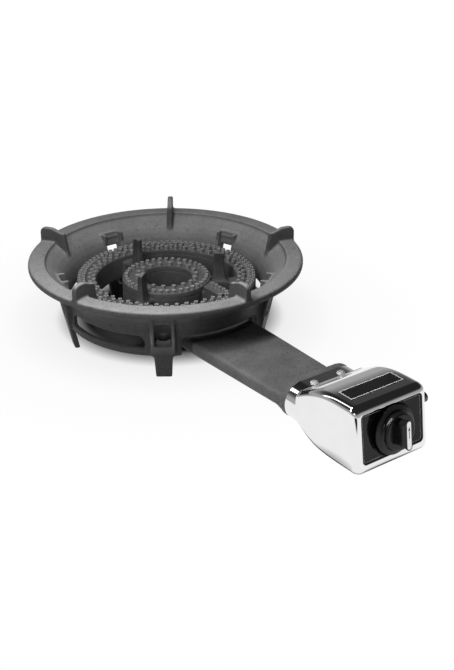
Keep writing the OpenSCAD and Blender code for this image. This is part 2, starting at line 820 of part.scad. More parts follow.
plate_front = -dish_depth - fascia_t;
bracket_t = 1.5;
pillar_at = 18;
pillar_turn = 42;
pillar_r = 3.5;
body_r = 12;
cam_front = plate_front - bracket_t - 0.8;
cam_t = 1.8;
cam_reach = 11.5;
cam_pressed = cam_front - cam_t / 2 - press;
igniter_x = -27;
igniter_y = axis_y(cam_pressed) + 2.5;
igniter_screw_y = igniter_y + 9.5;
igniter_screw_gap = 3.3;
igniter_foot_t = 2.5;
bonnet_front = cam_front - cam_t - press - 0.5;
body_front = bonnet_front - 8.5;
plug_front = body_front - 4;
plug_len = 18;
body_back = plug_front - plug_len - 4;
plug_r = 9.5;
plug_tip_r = 7.5;
port_r = 2.5;
collar_front = bonnet_front - 1.6;
cavity_r = 7;
collar_r = 6.4;
bracket_w = 46;
bracket_low_z = neck_z - spigot_r + spigot_t;
strut_x = 27;
strut_y = fascia_y + 30;
strut_w = 12;
floor_half = strut_x + strut_w / 2 + 1;
valve_screw_r = 2;

// Bent steel bracket from the casting's spigot forward to the back of the fascia
module valve_bracket() {
  front_drop = (knob_z - bracket_low_z) / cos(lean);
  front_y = axis_y(plate_front - bracket_t) + front_drop * sin(lean);
  color(steel) difference() {
    union() {
      on_axis() translate([-bracket_w / 2, -front_drop + 1, plate_front - bracket_t])
        cube([bracket_w, front_drop + 22, bracket_t]);
      translate([-bracket_w / 2, axis_y(plate_front) - 3, bracket_low_z])
        cube([bracket_w, -arm_len - axis_y(plate_front), bracket_t]);
      translate([-floor_half, axis_y(plate_front) - 3, bracket_low_z])
        cube([2 * floor_half, strut_y + strut_w / 2 - axis_y(plate_front) + 3, bracket_t]);
      for (s = [-1, 1]) {
        translate([s * strut_x - strut_w / 2, strut_y - strut_w / 2, base_z + base_t])
          cube([strut_w, strut_w, bracket_t]);
        translate([s * strut_x - strut_w / 2, strut_y + strut_w / 2 - bracket_t, base_z + base_t])
          cube([strut_w, bracket_t, bracket_low_z + bracket_t - base_z - base_t]);
      }
    }
    on_axis() {
      translate([-box_half, -front_drop - 60, plate_front - bracket_t - 60]) cube([2 * box_half, 60.5, 1]);
      translate([0, 0, plate_front - bracket_t - 1])
        cylinder(h = bracket_t + 2, r = spindle_r + 2, $fn = 48);
      at_pillars() translate([0, 0, plate_front - bracket_t - 1]) {
        cylinder(h = bracket_t + 2, r = valve_screw_r + fit, $fn = 32);
        translate([0, 0, 1]) cylinder(h = bracket_t + 0.1, r1 = valve_screw_r + fit, r2 = 4.1, $fn = 32);
      }
    }
    // Trim whatever lies in front of the upright plate
    on_axis() translate([-box_half, -2 * box_half, plate_front]) cube([2 * box_half, 4 * box_half, 20]);
    for (s = [-1, 1]) {
      translate([s * bracket_screw_x, bracket_screw_y, bracket_low_z - 1])
        cylinder(h = bracket_t + 2, r = neck_screw_r + fit, $fn = 32);
      translate([s * strut_x, strut_y, base_z + base_t - 1])
        cylinder(h = bracket_t + 2, r = neck_screw_r + run_fit, $fn = 32);
      translate([igniter_x + s * igniter_screw_gap, igniter_screw_y, bracket_low_z - 1])
        cylinder(h = bracket_t + 2, r = 1.5 + run_fit, $fn = 24);
    }
  }
}

module bracket_screws() {
  color(steel) for (s = [-1, 1]) translate([s * bracket_screw_x, bracket_screw_y,
    bracket_low_z + bracket_t]) {
    cylinder(h = 2.2, r = 3.8, $fn = 32);
    translate([0, 0, -bracket_t - spigot_t + 0.5])
      cylinder(h = bracket_t + spigot_t, r = neck_screw_r, $fn = 32);
  }
}

holder_gap = 10;
holder_y = -arm_len - spigot_len - holder_gap;
holder_t = 10;
holder_half = 27;
holder_r = 5.6;
feed_x = 8;
feed_r = 4;
feed_len = 10;
body_rear_y = holder_y - feed_len;
body_half = 14;
body_low = 9;
body_h = 16;
inlet_arm_r = 7.2;

module valve_body() {
  color(brass) difference() {
    union() {
      on_axis() translate([0, 0, body_back]) {
        cylinder(h = body_front - body_back, r = body_r, $fn = 64);
        translate([0, 0, body_front - body_back - 4]) linear_extrude(4) ears();
      }
      translate([-body_half, axis_y(body_back + 3), neck_z - body_low])
        cube([2 * body_half, body_rear_y - axis_y(body_back + 3), body_h]);
      translate([0, inlet_y, inlet_z]) rotate([0, 90, 0])
        cylinder(h = inlet_arm, r = inlet_arm_r, $fn = 48);
    }
    on_axis() translate([0, 0, plug_front - plug_len - 0.5]) {
      cylinder(h = plug_len + 0.5, r1 = plug_tip_r + run_fit, r2 = plug_r + run_fit, $fn = 64);
      translate([0, 0, plug_len + 0.4]) cylinder(h = body_front - plug_front + 2, r = plug_r + run_fit,
        $fn = 64);
    }
    on_axis() for (s = [-1, 1]) translate([s * bonnet_screw_x, 0, body_front - 8])
      cylinder(h = 10, r = 1.5 + run_fit, $fn = 24);
    translate([12, inlet_y, inlet_z]) rotate([0, 90, 0]) cylinder(h = 30, r = 6 + run_fit, $fn = 48);
    translate([0, inlet_y, inlet_z]) rotate([0, 90, 0]) cylinder(h = 20, r = port_r, $fn = 32);
    for (s = [-1, 1]) translate([s * feed_x, body_rear_y + 1, mouth_z]) rotate([90, 0, 0])
      cylinder(h = 16, r = port_r, $fn = 32);
  }
}

bonnet_screw_x = 14.5;

module ears() {
  obround(bonnet_screw_x + 4, 4.5);
  circle(body_r, $fn = 64);
}

// Places of the two pillars, above the axis on either side
module at_pillars() {
  for (s = [-1, 1]) rotate([0, 0, 90 + s * pillar_turn]) translate([pillar_at, 0, 0]) children();
}

// Cover over the valve's spring, with two pillars to the bracket
module valve_bonnet() {
  color("darkgray") on_axis() difference() {
    union() {
      translate([0, 0, body_front]) linear_extrude(2.5) {
        ears();
        at_pillars() {
          translate([-pillar_at, -pillar_r]) square([pillar_at, 2 * pillar_r]);
          circle(pillar_r, $fn = 32);
        }
      }
      translate([0, 0, body_front]) cylinder(h = bonnet_front - body_front, r = cavity_r + 2.2, $fn = 64);
      at_pillars() translate([0, 0, body_front])
        cylinder(h = plate_front - bracket_t - body_front, r = pillar_r, $fn = 32);
    }
    translate([0, 0, body_front - 1]) cylinder(h = collar_front + 1 - body_front, r = cavity_r, $fn = 64);
    translate([0, 0, body_front]) cylinder(h = 20, r = spindle_r + run_fit, $fn = 48);
    at_pillars() translate([0, 0, plate_front - bracket_t - 8])
      cylinder(h = 9, r = valve_screw_r + run_fit, $fn = 32);
    for (s = [-1, 1]) translate([s * bonnet_screw_x, 0, body_front - 1])
      cylinder(h = 5, r = 1.5 + fit, $fn = 24);
  }
}

module bonnet_screws() {
  color(steel) on_axis() for (s = [-1, 1]) translate([s * bonnet_screw_x, 0, body_front + 2.5]) {
    cylinder(h = 1.8, r = 2.8, $fn = 32);
    translate([0, 0, -9]) cylinder(h = 9 + eps, r = 1.5, $fn = 24);
  }
}

module valve_screws() {
  color(steel) on_axis() at_pillars() translate([0, 0, plate_front]) {
    translate([0, 0, -bracket_t]) cylinder(h = bracket_t, r1 = valve_screw_r, r2 = 3.8, $fn = 32);
    translate([0, 0, -bracket_t - 6]) cylinder(h = 6 + eps, r = valve_screw_r, $fn = 32);
  }
}

jet_body_r = 4;
jet_len = 9;

// Bar with two gas-ways that carries the jets in line with the mixing tubes
module jet_holder() {
  color(brass) difference() {
    union() {
      slab(holder_y, holder_t) translate([0, mouth_z]) obround(holder_half, holder_r);
      for (s = [-1, 1]) translate([s * feed_x, body_rear_y, mouth_z]) rotate([-90, 0, 0])
        cylinder(h = holder_y - body_rear_y + 1, r = feed_r, $fn = 32);
    }
    for (s = [-1, 1]) {
      translate([s * feed_x, body_rear_y - 1, mouth_z]) rotate([-90, 0, 0])
        cylinder(h = feed_len + holder_t / 2 + 2, r = port_r, $fn = 32);
      translate([s * feed_x, holder_y + holder_t / 2, mouth_z]) rotate([0, 90 * s, 0])
        cylinder(h = tube_x - feed_x, r = port_r, $fn = 32);
      translate([s * tube_x, holder_y + 4, mouth_z]) rotate([-90, 0, 0])
        cylinder(h = 8, r = jet_body_r - 0.8 + run_fit, $fn = 32);
    }
  }
}

// Brass jet: a hexagon and a nose with a drilled bore
module jet(x, bore_r) {
  color(brass) translate([x, holder_y + holder_t, mouth_z]) rotate([-90, 0, 0]) difference() {
    union() {
      translate([0, 0, -6]) cylinder(h = 6 + eps, r = jet_body_r - 0.8, $fn = 32);
      cylinder(h = 4, r = jet_body_r + 0.6, $fn = 6);
      translate([0, 0, 3.5]) cylinder(h = jet_len - 3.5, r1 = jet_body_r - 0.6, r2 = 1.8, $fn = 32);
    }
    translate([0, 0, -7]) cylinder(h = 12, r = 1.6, $fn = 24);
    translate([0, 0, 4]) cylinder(h = jet_len, r = bore_r, $fn = 24);
  }
}

module outer_jet() jet(-tube_x, 0.75);
module inner_jet() jet(tube_x, 0.5);

// Hose nozzle: a hexagon outside the box and a tail with grooves at its end
module inlet_nozzle() {
  hex_x = box_half + 1.5;
  hex_len = 6;
  inner_x = inlet_arm - 10;
  grooves = 3;
  groove_w = 1.3;
  groove_pitch = 2.3;
  chamfer = 0.8;
  first_groove = inlet_reach - chamfer - grooves * groove_pitch;
  color(steel) translate([0, inlet_y, inlet_z]) rotate([0, 90, 0]) difference() {
    union() {
      translate([0, 0, inner_x]) cylinder(h = hex_x - inner_x + eps, r = 6, $fn = 48);
      translate([0, 0, inlet_arm]) cylinder(h = 3, r = 8.5, $fn = 48);
      translate([0, 0, hex_x]) cylinder(h = hex_len, r = 8, $fn = 6);
      translate([0, 0, hex_x + hex_len - eps])
        cylinder(h = inlet_reach - chamfer - hex_x - hex_len + eps, r = nozzle_r, $fn = 48);
      translate([0, 0, inlet_reach - chamfer]) cylinder(h = chamfer, r1 = nozzle_r,
        r2 = nozzle_r - chamfer, $fn = 48);
    }
    for (i = [0 : grooves - 1]) translate([0, 0, first_groove + i * groove_pitch]) difference() {
      cylinder(h = groove_w, r = nozzle_r + 1, $fn = 48);
      translate([0, 0, -1]) cylinder(h = groove_w + 2, r = nozzle_r - groove_depth, $fn = 48);
    }
    translate([0, 0, inner_x - 4]) cylinder(h = inlet_reach, r = 3, $fn = 32);
  }
}

// Push-type piezo unit: its plunger stands just off the cam's path
module piezo_igniter() {
  case_w = 12;
  case_len = 10;
  case_h = 24;
  low = bracket_low_z + bracket_t;
  color("ivory") {
    translate([igniter_x - case_w / 2, igniter_y - case_len / 2, low]) cube([case_w, case_len, case_h]);
    difference() {
      translate([igniter_x - case_w / 2, igniter_y + case_len / 2 - 1, low])
        cube([case_w, 9, igniter_foot_t]);
      for (s = [-1, 1]) translate([igniter_x + s * igniter_screw_gap, igniter_screw_y, low - 1])
        cylinder(h = igniter_foot_t + 2, r = 1.5 + run_fit, $fn = 24);
    }
  }
  color(black) {
    translate([igniter_x, igniter_y, low + case_h]) cylinder(h = 3, r = 2, $fn = 24);
    translate([igniter_x + case_w / 2, igniter_y, axis_z(cam_pressed)]) rotate([0, 90, 0])
      cylinder(h = -cam_reach - 2 * fit - igniter_x - case_w / 2, r = 2.2, $fn = 24);
  }
}

module igniter_screws() {
  grip = igniter_foot_t + bracket_t;
  color(steel) for (s = [-1, 1])
    translate([igniter_x + s * igniter_screw_gap, igniter_screw_y, bracket_low_z + grip]) {
      cylinder(h = 1.6, r = 2.4, $fn = 24);
      translate([0, 0, -grip - 1]) cylinder(h = grip + 1 + eps, r = 1.5, $fn = 24);
    }
}

shutter_travel = 5;
shutter_t = 1.5;
shutter_half = 29;
shutter_y = -arm_len - fit - shutter_t;

// Plate that slides across the two tube mouths on one screw
module air_shutter() {
  slot_r = shutter_screw_r + fit;
  color(steel) slab(shutter_y, shutter_t) translate([0, mouth_z]) difference() {
    obround(shutter_half, mouth_r);
    for (s = [-1, 1]) translate([s * tube_x, 0]) circle(mouth_r - 2, $fn = 48);
    translate([-shutter_travel / 2, 0]) obround(shutter_travel / 2 + slot_r, slot_r);
  }
}

module shutter_screw() {
  shank = shutter_t + 2 * fit;
  color(steel) translate([0, -arm_len, mouth_z]) rotate([-90, 0, 0]) {
    translate([0, 0, -shank - 2]) cylinder(h = 2, r = 5, $fn = 32);
    translate([0, 0, -shank - eps]) cylinder(h = shank + eps + 6, r = shutter_screw_r, $fn = 32);
  }
}

// The turning and sliding parts, on the knob's axis

tongue_t = 3.5;
tongue_w = 7;
tongue_len = 9;
shank_low = plug_front + press + 2 * fit;

module valve_plug() {
  color(brass) on_axis() difference() {
    translate([0, 0, plug_front - plug_len]) cylinder(h = plug_len, r1 = plug_tip_r, r2 = plug_r, $fn = 64);
    translate([0, 0, plug_front - (tongue_len + press + 1) / 2 + 0.5])
      cube([tongue_w + 2 * fit, tongue_t + 2 * fit, tongue_len + press + 2], center = true);
    translate([0, inlet_up, inlet_w]) rotate([0, 90, 0]) cylinder(h = 12, r = port_r, $fn = 32);
  }
}

spring_r = 5.2;
spring_wire = 0.35;
spring_turns = 4;
spring_rings = 16;
spring_sides = 6;
spring_top = collar_front - 1.5 - fit - spring_wire;
spring_foot = plug_front + fit + spring_wire;

function spring_point(i) = let (a = 360 * i / spring_rings, f = i / (spring_turns * spring_rings))
  [spring_r * cos(a), spring_r * sin(a), spring_foot + (spring_top - spring_foot) * f];
function spring_ring(i) = let (a = 360 * i / spring_rings, c = spring_point(i))
  [for (k = [0 : spring_sides - 1]) let (b = 360 * k / spring_sides)
    c + spring_wire * [cos(b) * cos(a), cos(b) * sin(a), sin(b)]];

// Coil of round wire, swept along its helix
module return_spring() {
  n = spring_turns * spring_rings;
  m = spring_sides;
  color(steel) on_axis() polyhedron(
    points = [for (i = [0 : n]) each spring_ring(i)],
    faces = concat(
      [[for (k = [0 : m - 1]) k]],
      [for (i = [0 : n - 1], k = [0 : m - 1]) [i * m + k, (i + 1) * m + k, (i + 1) * m + (k + 1) % m]],
      [for (i = [0 : n - 1], k = [0 : m - 1]) [i * m + k, (i + 1) * m + (k + 1) % m, i * m + (k + 1) % m]],
      [[for (k = [m - 1 : -1 : 0]) n * m + k]]
    )
  );
}

grip_low = 5.5;
knob_back = 2.5;
bore_deep = 12;

module valve_spindle() {
  color(steel) on_axis() difference() {
    union() {
      translate([0, 0, shank_low]) cylinder(h = knob_back + bore_deep - shank_low, r = spindle_r, $fn = 48);
      translate([0, 0, collar_front - 1.5 - run_fit]) cylinder(h = 1.5, r = collar_r, $fn = 48);
      translate([-tongue_w / 2, -tongue_t / 2, plug_front - tongue_len])
        cube([tongue_w, tongue_t, shank_low + 1 - plug_front + tongue_len]);
    }
    // Flat that turns the knob with the spindle
    translate([-spindle_r, spindle_r - 1.2, knob_back + 1]) cube([2 * spindle_r, 3, bore_deep]);
  }
}

// Disc with a nose that trips the igniter as the knob turns
module igniter_cam() {
  color("ivory") on_axis() translate([0, 0, cam_front - cam_t]) linear_extrude(cam_t) difference() {
    union() {
      circle(8, $fn = 48);
      translate([4 - cam_reach, 0]) circle(4, $fn = 32);
    }
    circle(spindle_r, $fn = 48);
  }
}

module grip_plan(len, w) {
  obround(len / 2, w / 2);
}

module control_knob() {
  color(black) on_axis() difference() {
    union() {
      rotate_extrude($fn = 96) polygon(concat(
        [[0, knob_back], [knob_r - 0.6, knob_back], [knob_r, knob_back + 0.6], [knob_r, knob_back + 1.8]],
        curve_points([knob_r - 0.4, knob_back + 2.4], [knob_r - 5, knob_back + 3.4],
          [knob_r - 6.5, grip_low + 1], 4),
        curve_points([knob_r - 7, grip_low + 5], [knob_r - 7.4, grip_low + 6.6],
          [knob_r - 9, grip_low + 6.8], 4),
        [[0, grip_low + 6.8]]
      ));
      translate([0, 0, grip_low]) hull() {
        linear_extrude(1) rotate([0, 0, 90]) grip_plan(grip_len - 5, grip_w + 3);
        translate([0, 0, knob_out - grip_low - 1]) linear_extrude(1) rotate([0, 0, 90])
          grip_plan(grip_len, grip_w);
      }
    }
    translate([0, 0, knob_back - 1]) difference() {
      cylinder(h = bore_deep + 1.2, r = spindle_r + run_fit, $fn = 48);
      translate([-spindle_r - 1, spindle_r - 1.2 + run_fit, 2.3]) cube([2 * spindle_r + 2, 4, bore_deep]);
    }
    translate([0, 0, knob_out - insert_t + 0.2]) linear_extrude(insert_t) rotate([0, 0, 90])
      grip_plan(grip_len - 2, grip_w - 2.4);
    // Hollow under the skirt
    translate([0, 0, knob_back - 0.1]) rotate_extrude($fn = 96)
      polygon([[spindle_r + 4, 0], [knob_r - 2, 0], [knob_r - 5, 1.6], [spindle_r + 4, 1.6]]);
  }
}

insert_t = 1.4;

// Pale strip let into the grip's nose
module knob_insert() {
  color(chrome) on_axis() translate([0, 0, knob_out - insert_t + 0.2]) linear_extrude(insert_t)
    rotate([0, 0, 90]) grip_plan(grip_len - 2.2, grip_w - 2.6);
}

wok_stand();
burner_manifold();
outer_burner_ring();
inner_burner_ring();
burner_bolts();
spark_electrode();
control_housing();
neck_screws();
base_plate();
base_screws();
rubber_feet();
fascia_plate();
top_plate();
valve_bracket();
bracket_screws();
valve_body();
valve_bonnet();
bonnet_screws();
valve_screws();
jet_holder();
outer_jet();
inner_jet();
inlet_nozzle();
piezo_igniter();
igniter_screws();
air_shutter();
shutter_screw();
valve_plug();
return_spring();
valve_spindle();
igniter_cam();
control_knob();
knob_insert();
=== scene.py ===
import math

import bmesh
import bpy
import numpy as np
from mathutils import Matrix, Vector


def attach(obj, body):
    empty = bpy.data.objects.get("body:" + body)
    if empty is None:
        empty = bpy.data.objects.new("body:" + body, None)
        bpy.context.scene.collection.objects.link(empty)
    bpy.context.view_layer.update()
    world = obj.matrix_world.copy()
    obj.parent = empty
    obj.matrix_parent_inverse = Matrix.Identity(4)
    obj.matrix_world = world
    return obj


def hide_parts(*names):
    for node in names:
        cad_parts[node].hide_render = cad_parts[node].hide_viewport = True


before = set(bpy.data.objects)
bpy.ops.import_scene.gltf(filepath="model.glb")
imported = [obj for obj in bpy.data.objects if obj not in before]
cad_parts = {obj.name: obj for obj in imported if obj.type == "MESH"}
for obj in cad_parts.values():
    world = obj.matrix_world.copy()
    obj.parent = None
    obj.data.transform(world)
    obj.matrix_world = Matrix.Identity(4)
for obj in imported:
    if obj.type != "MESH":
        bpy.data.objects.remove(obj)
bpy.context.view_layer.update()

MM = 0.001
LEAN = math.radians(8.0)
KNOB_Y, KNOB_Z = -372.2, 48.0
ARM_END = -270.0
NECK_MIDDLE = 41.4
MACHINED_EDGE = 32

# Meshes


def piece_from(name, points, faces, finish, sharp, body="root"):
    """New piece of the object, points in millimetres, riding on a body."""
    mesh = bpy.data.meshes.new(name)
    mesh.from_pydata([tuple(p) for p in np.asarray(points, float) * MM], [], [tuple(f) for f in faces])
    mesh.validate()
    piece = bpy.data.objects.new(name, mesh)
    bpy.context.scene.collection.objects.link(piece)
    tidy_mesh(piece, sharp)
    mesh.materials.append(finish)
    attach(piece, body)
    return piece


def tidy_mesh(piece, sharp):
    """Merges doubles, turns the faces outwards and shades them smooth up to an angle."""
    work = bmesh.new()
    work.from_mesh(piece.data)
    bmesh.ops.remove_doubles(work, verts=work.verts, dist=2e-6)
    bmesh.ops.recalc_face_normals(work, faces=work.faces)
    work.to_mesh(piece.data)
    work.free()
    for face in piece.data.polygons:
        face.use_smooth = True
    piece.data.set_sharp_from_angle(angle=math.radians(sharp))


def settled(piece):
    """Turns the piece's modifiers into its plain mesh."""
    bpy.context.view_layer.update()
    depsgraph = bpy.context.evaluated_depsgraph_get()
    made = bpy.data.meshes.new_from_object(piece.evaluated_get(depsgraph))
    piece.modifiers.clear()
    old = piece.data
    piece.data = made
    bpy.data.meshes.remove(old)
    return piece


def cad_copy(name, node, body="root"):
    """Merged copy of a CAD node as a new piece, which the node is then hidden behind."""
    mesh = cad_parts[node].data.copy()
    mesh.materials.clear()
    piece = bpy.data.objects.new(name, mesh)
    bpy.context.scene.collection.objects.link(piece)
    work = bmesh.new()
    work.from_mesh(mesh)
    bmesh.ops.remove_doubles(work, verts=work.verts, dist=4e-6)
    bmesh.ops.dissolve_degenerate(work, edges=work.edges, dist=2e-6)
    bmesh.ops.recalc_face_normals(work, faces=work.faces)
    work.to_mesh(mesh)
    work.free()
    for layer in ("custom_normal", "sharp_face", "sharp_edge"):
        if layer in mesh.attributes:
            mesh.attributes.remove(mesh.attributes[layer])
    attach(piece, body)
    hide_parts(node)
    return piece


def softened(name, node, finish, body, bevel):
    """Copy of a CAD node with its machined edges broken by a small bevel."""
    piece = cad_copy(name, node, body)
    work = bmesh.new()
    work.from_mesh(piece.data)
    bmesh.ops.dissolve_limit(work, angle_limit=math.radians(0.6), verts=work.verts, edges=work.edges)
    work.to_mesh(piece.data)
    work.free()
    broken = piece.modifiers.new("edge", "BEVEL")
    broken.width = bevel * MM
    broken.segments = 2
    broken.limit_method = "ANGLE"
    broken.angle_limit = math.radians(MACHINED_EDGE)
    broken.use_clamp_overlap = True
    settled(piece)
    for face in piece.data.polygons:
        face.use_smooth = True
    piece.data.set_sharp_from_angle(angle=math.radians(MACHINED_EDGE))
    piece.data.materials.clear()
    piece.data.materials.append(finish)
    return piece


def grown(piece, distance, voxel):
    """Moves the skin out or in along its normals and rebuilds it evenly."""
    swell = piece.modifiers.new("swell", "DISPLACE")
    swell.strength = distance * MM
    swell.mid_level = 0.0
    skin = piece.modifiers.new("skin", "REMESH")
    skin.mode = "VOXEL"
    skin.voxel_size = voxel * MM
    return settled(piece)


def cast_form(name, node, finish, voxel, fillet, faces):
    """Casting: the CAD form with filled inner corners and the soft edges that sand leaves."""
    piece = cad_copy(name, node)
    for distance in (0.0, fillet, -fillet):
        grown(piece, distance, voxel)
    soft = piece.modifiers.new("soft", "SMOOTH")
    soft.factor = 0.5
    soft.iterations = 1
    settled(piece)
    triangles = sum(len(f.vertices) - 2 for f in piece.data.polygons)
    thin = piece.modifiers.new("thin", "DECIMATE")
    thin.ratio = min(1.0, faces / triangles)
    settled(piece)
    for face in piece.data.polygons:
        face.use_smooth = True
    piece.data.materials.clear()
    piece.data.materials.append(finish)
    return piece


def lathe(profile, steps, on_knob=False):
    """Points and faces of a turned shape; profile runs in radius and height, in millimetres."""
    turn = np.arange(steps) * 2 * math.pi / steps
    points, rings = [], []
    for r, z in profile:
        if r < 1e-6:
            rings.append([len(points)])
            points.append((0, 0, z))
        else:
            rings.append(list(range(len(points), len(points) + steps)))
            points += [(r * math.cos(a), r * math.sin(a), z) for a in turn]
    faces = []
    for low, high in zip(rings, rings[1:]):
        for i in range(steps):
            j = (i + 1) % steps
            if len(low) == 1 and len(high) > 1:
                faces.append((low[0], high[j], high[i]))
            elif len(high) == 1 and len(low) > 1:
                faces.append((low[i], low[j], high[0]))
            elif len(low) > 1:
                faces.append((low[i], low[j], high[j], high[i]))
    points = np.array(points, float)
    return (on_axis(points) if on_knob else points), faces


def on_axis(points):
    """From the knob's own frame, with its Z out of the fascia and Y up along it, to the part's frame."""
    x, y, z = np.asarray(points, float).T
    axis_y = -z * math.cos(LEAN) + y * math.sin(LEAN)
    axis_z = z * math.sin(LEAN) + y * math.cos(LEAN)
    return np.c_[x, axis_y + KNOB_Y, axis_z + KNOB_Z]


def arc(centre, radius, start, end, count):
    """Points of an arc in the plane, angles in degrees."""
    turn = np.radians(np.linspace(start, end, count + 1))
    return [(centre[0] + radius * math.cos(a), centre[1] + radius * math.sin(a)) for a in turn]


def rounded_outline(half, low, high, low_r, high_r, corner=10, side=8, across=14):
    """Closed outline of an upright rounded section, from its foot's middle to the right."""
    line = []

    def run(a, b, count):
        line.extend([tuple(np.array(a) + (np.array(b) - np.array(a)) * i / count) for i in range(count)])

    run((0, low), (half - low_r, low), across // 2)
    line.extend(arc((half - low_r, low + low_r), low_r, -90, 0, corner)[:-1])
    run((half, low + low_r), (half, high - high_r), side)
    line.extend(arc((half - high_r, high - high_r), high_r, 0, 90, corner)[:-1])
    run((half - high_r, high), (high_r - half, high), across)
    line.extend(arc((high_r - half, high - high_r), high_r, 90, 180, corner)[:-1])
    run((-half, high - high_r), (-half, low + low_r), side)
    line.extend(arc((low_r - half, low + low_r), low_r, 180, 270, corner)[:-1])
    run((low_r - half, low), (0, low), across // 2)
    return np.array(line, float)


def bridged(rings, closed=False, capped=False):
    """Faces that join equal rings of points one after the other."""
    count = len(rings[0])
    faces = []
    rows = len(rings) if closed else len(rings) - 1
    for r in range(rows):
        a, b = r * count, ((r + 1) % len(rings)) * count
        for i in range(count):
            j = (i + 1) % count
            faces.append((a + i, a + j, b + j, b + i))
    if capped:
        faces.append(tuple(range(count)))
        faces.append(tuple(range((len(rings) - 1) * count, len(rings) * count)))
    return np.concatenate(rings), faces


def joined(*shapes):
    """One list of points and faces from several."""
    points, faces, start = [], [], 0
    for p, f in shapes:
        points.append(np.asarray(p, float))
        faces += [tuple(i + start for i in face) for face in f]
        start += len(p)
    return np.concatenate(points), faces


# Finishes

MOULD_GRAIN = 900

class Finish:
    """Material under construction."""

    def __init__(self, name, metallic=0.0, **sockets):
        self.material = bpy.data.materials.new(name)
        self.material.use_nodes = True
        self.tree = self.material.node_tree
        self.shader = self.tree.nodes["Principled BSDF"]
        self.shader.inputs["Metallic"].default_value = metallic
        for key, value in sockets.items():
            self.shader.inputs[key.replace("_", " ")].default_value = value
        self.place = self.tree.nodes.new("ShaderNodeTexCoord").outputs["Object"]

    def link(self, out, into):
        self.tree.links.new(out, into)

    def node(self, kind, **values):
        made = self.tree.nodes.new(kind)
        for key, value in values.items():
            setattr(made, key, value)
        return made

    def noise(self, scale, detail=3.0, roughness=0.55):
        grain = self.node("ShaderNodeTexNoise")
        grain.inputs["Scale"].default_value = scale
        grain.inputs["Detail"].default_value = detail
        grain.inputs["Roughness"].default_value = roughness
        self.link(self.place, grain.inputs["Vector"])
        return grain.outputs["Fac"]

    def ramp(self, value, low, high, start=0.0, end=1.0):
        """Two grey or colour levels between two values."""
        ramp = self.node("ShaderNodeValToRGB")
        for stop, place, level in zip(ramp.color_ramp.elements, (start, end), (low, high)):
            stop.position = place
            stop.color = tuple(level) + (1.0,) if hasattr(level, "__len__") else (level, level, level, 1.0)
        self.link(value, ramp.inputs["Fac"])
        return ramp.outputs["Color"]

    def range(self, value, low, high, start=0.0, end=1.0):
        part = self.node("ShaderNodeMapRange")
        for key, number in (("From Min", start), ("From Max", end), ("To Min", low), ("To Max", high)):
            part.inputs[key].default_value = number
        self.link(value, part.inputs["Value"])
        return part.outputs["Result"]

    def mixed(self, a, b, share, way="MIX"):
        mix = self.node("ShaderNodeMix", data_type="RGBA", blend_type=way)
        for key, value in (("A", a), ("B", b)):
            socket = [s for s in mix.inputs if s.name == key and s.type == "RGBA"][0]
            if hasattr(value, "is_output"):
                self.link(value, socket)
            else:
                socket.default_value = tuple(value) + (1.0,)
        factor = [s for s in mix.inputs if s.name == "Factor" and s.type == "VALUE"][0]
        if hasattr(share, "is_output"):
            self.link(share, factor)
        else:
            factor.default_value = share
        return [s for s in mix.outputs if s.type == "RGBA"][0]

    def painted_light(self, name):
        attribute = self.node("ShaderNodeAttribute", attribute_name=name)
        return attribute.outputs["Fac"]

    def colour(self, value):
        self.link(value, self.shader.inputs["Base Color"])

    def rough(self, value):
        self.link(value, self.shader.inputs["Roughness"])

    def bump(self, height, distance, strength=1.0):
        relief = self.node("ShaderNodeBump")
        relief.inputs["Strength"].default_value = strength
        relief.inputs["Distance"].default_value = distance
        self.link(height, relief.inputs["Height"])
        last = self.shader.inputs["Normal"]
        if last.links:
            self.link(last.links[0].from_socket, relief.inputs["Normal"])
        self.link(relief.outputs["Normal"], last)


def painted_shade_low_inside(iron):
    """Painted shade: 1 on the iron elsewhere, falling to a third low down inside the skirt, round and under
    the burner.
    """
    place = iron.node("ShaderNodeSeparateXYZ")
    iron.link(iron.place, place.inputs[0])
    flat = iron.node("ShaderNodeVectorMath", operation="MULTIPLY")
    flat.inputs[1].default_value = (1, 1, 0)
    iron.link(iron.place, flat.inputs[0])
    radius = iron.node("ShaderNodeVectorMath", operation="LENGTH")
    iron.link(flat.outputs[0], radius.inputs[0])
    by_height = iron.range(place.outputs["Z"], 0.32, 1.0, 0.045, 0.085)
    outside = iron.range(radius.outputs["Value"], 0.0, 1.0, 0.116, 0.122)
    low_shade = iron.node("ShaderNodeMath", operation="MAXIMUM")
    iron.link(by_height, low_shade.inputs[0])
    iron.link(outside, low_shade.inputs[1])
    return low_shade.outputs[0]


def painted_shade_on_sides(iron):
    """Painted shade: 1 on the faces that look up, less on the sides, and least on sides high up."""
    place = iron.node("ShaderNodeSeparateXYZ")
    iron.link(iron.place, place.inputs[0])
    facing = iron.node("ShaderNodeSeparateXYZ")
    iron.link(iron.node("ShaderNodeNewGeometry").outputs["Normal"], facing.inputs[0])
    side_shade = iron.node("ShaderNodeMapRange")
    for key, number in (("From Min", 0.35), ("From Max", 0.95), ("To Max", 1.0)):
        side_shade.inputs[key].default_value = number
    iron.link(facing.outputs["Z"], side_shade.inputs["Value"])
    iron.link(iron.range(place.outputs["Z"], 0.9, 0.25, 0.05, 0.09), side_shade.inputs["To Min"])
    return side_shade.outputs["Result"]


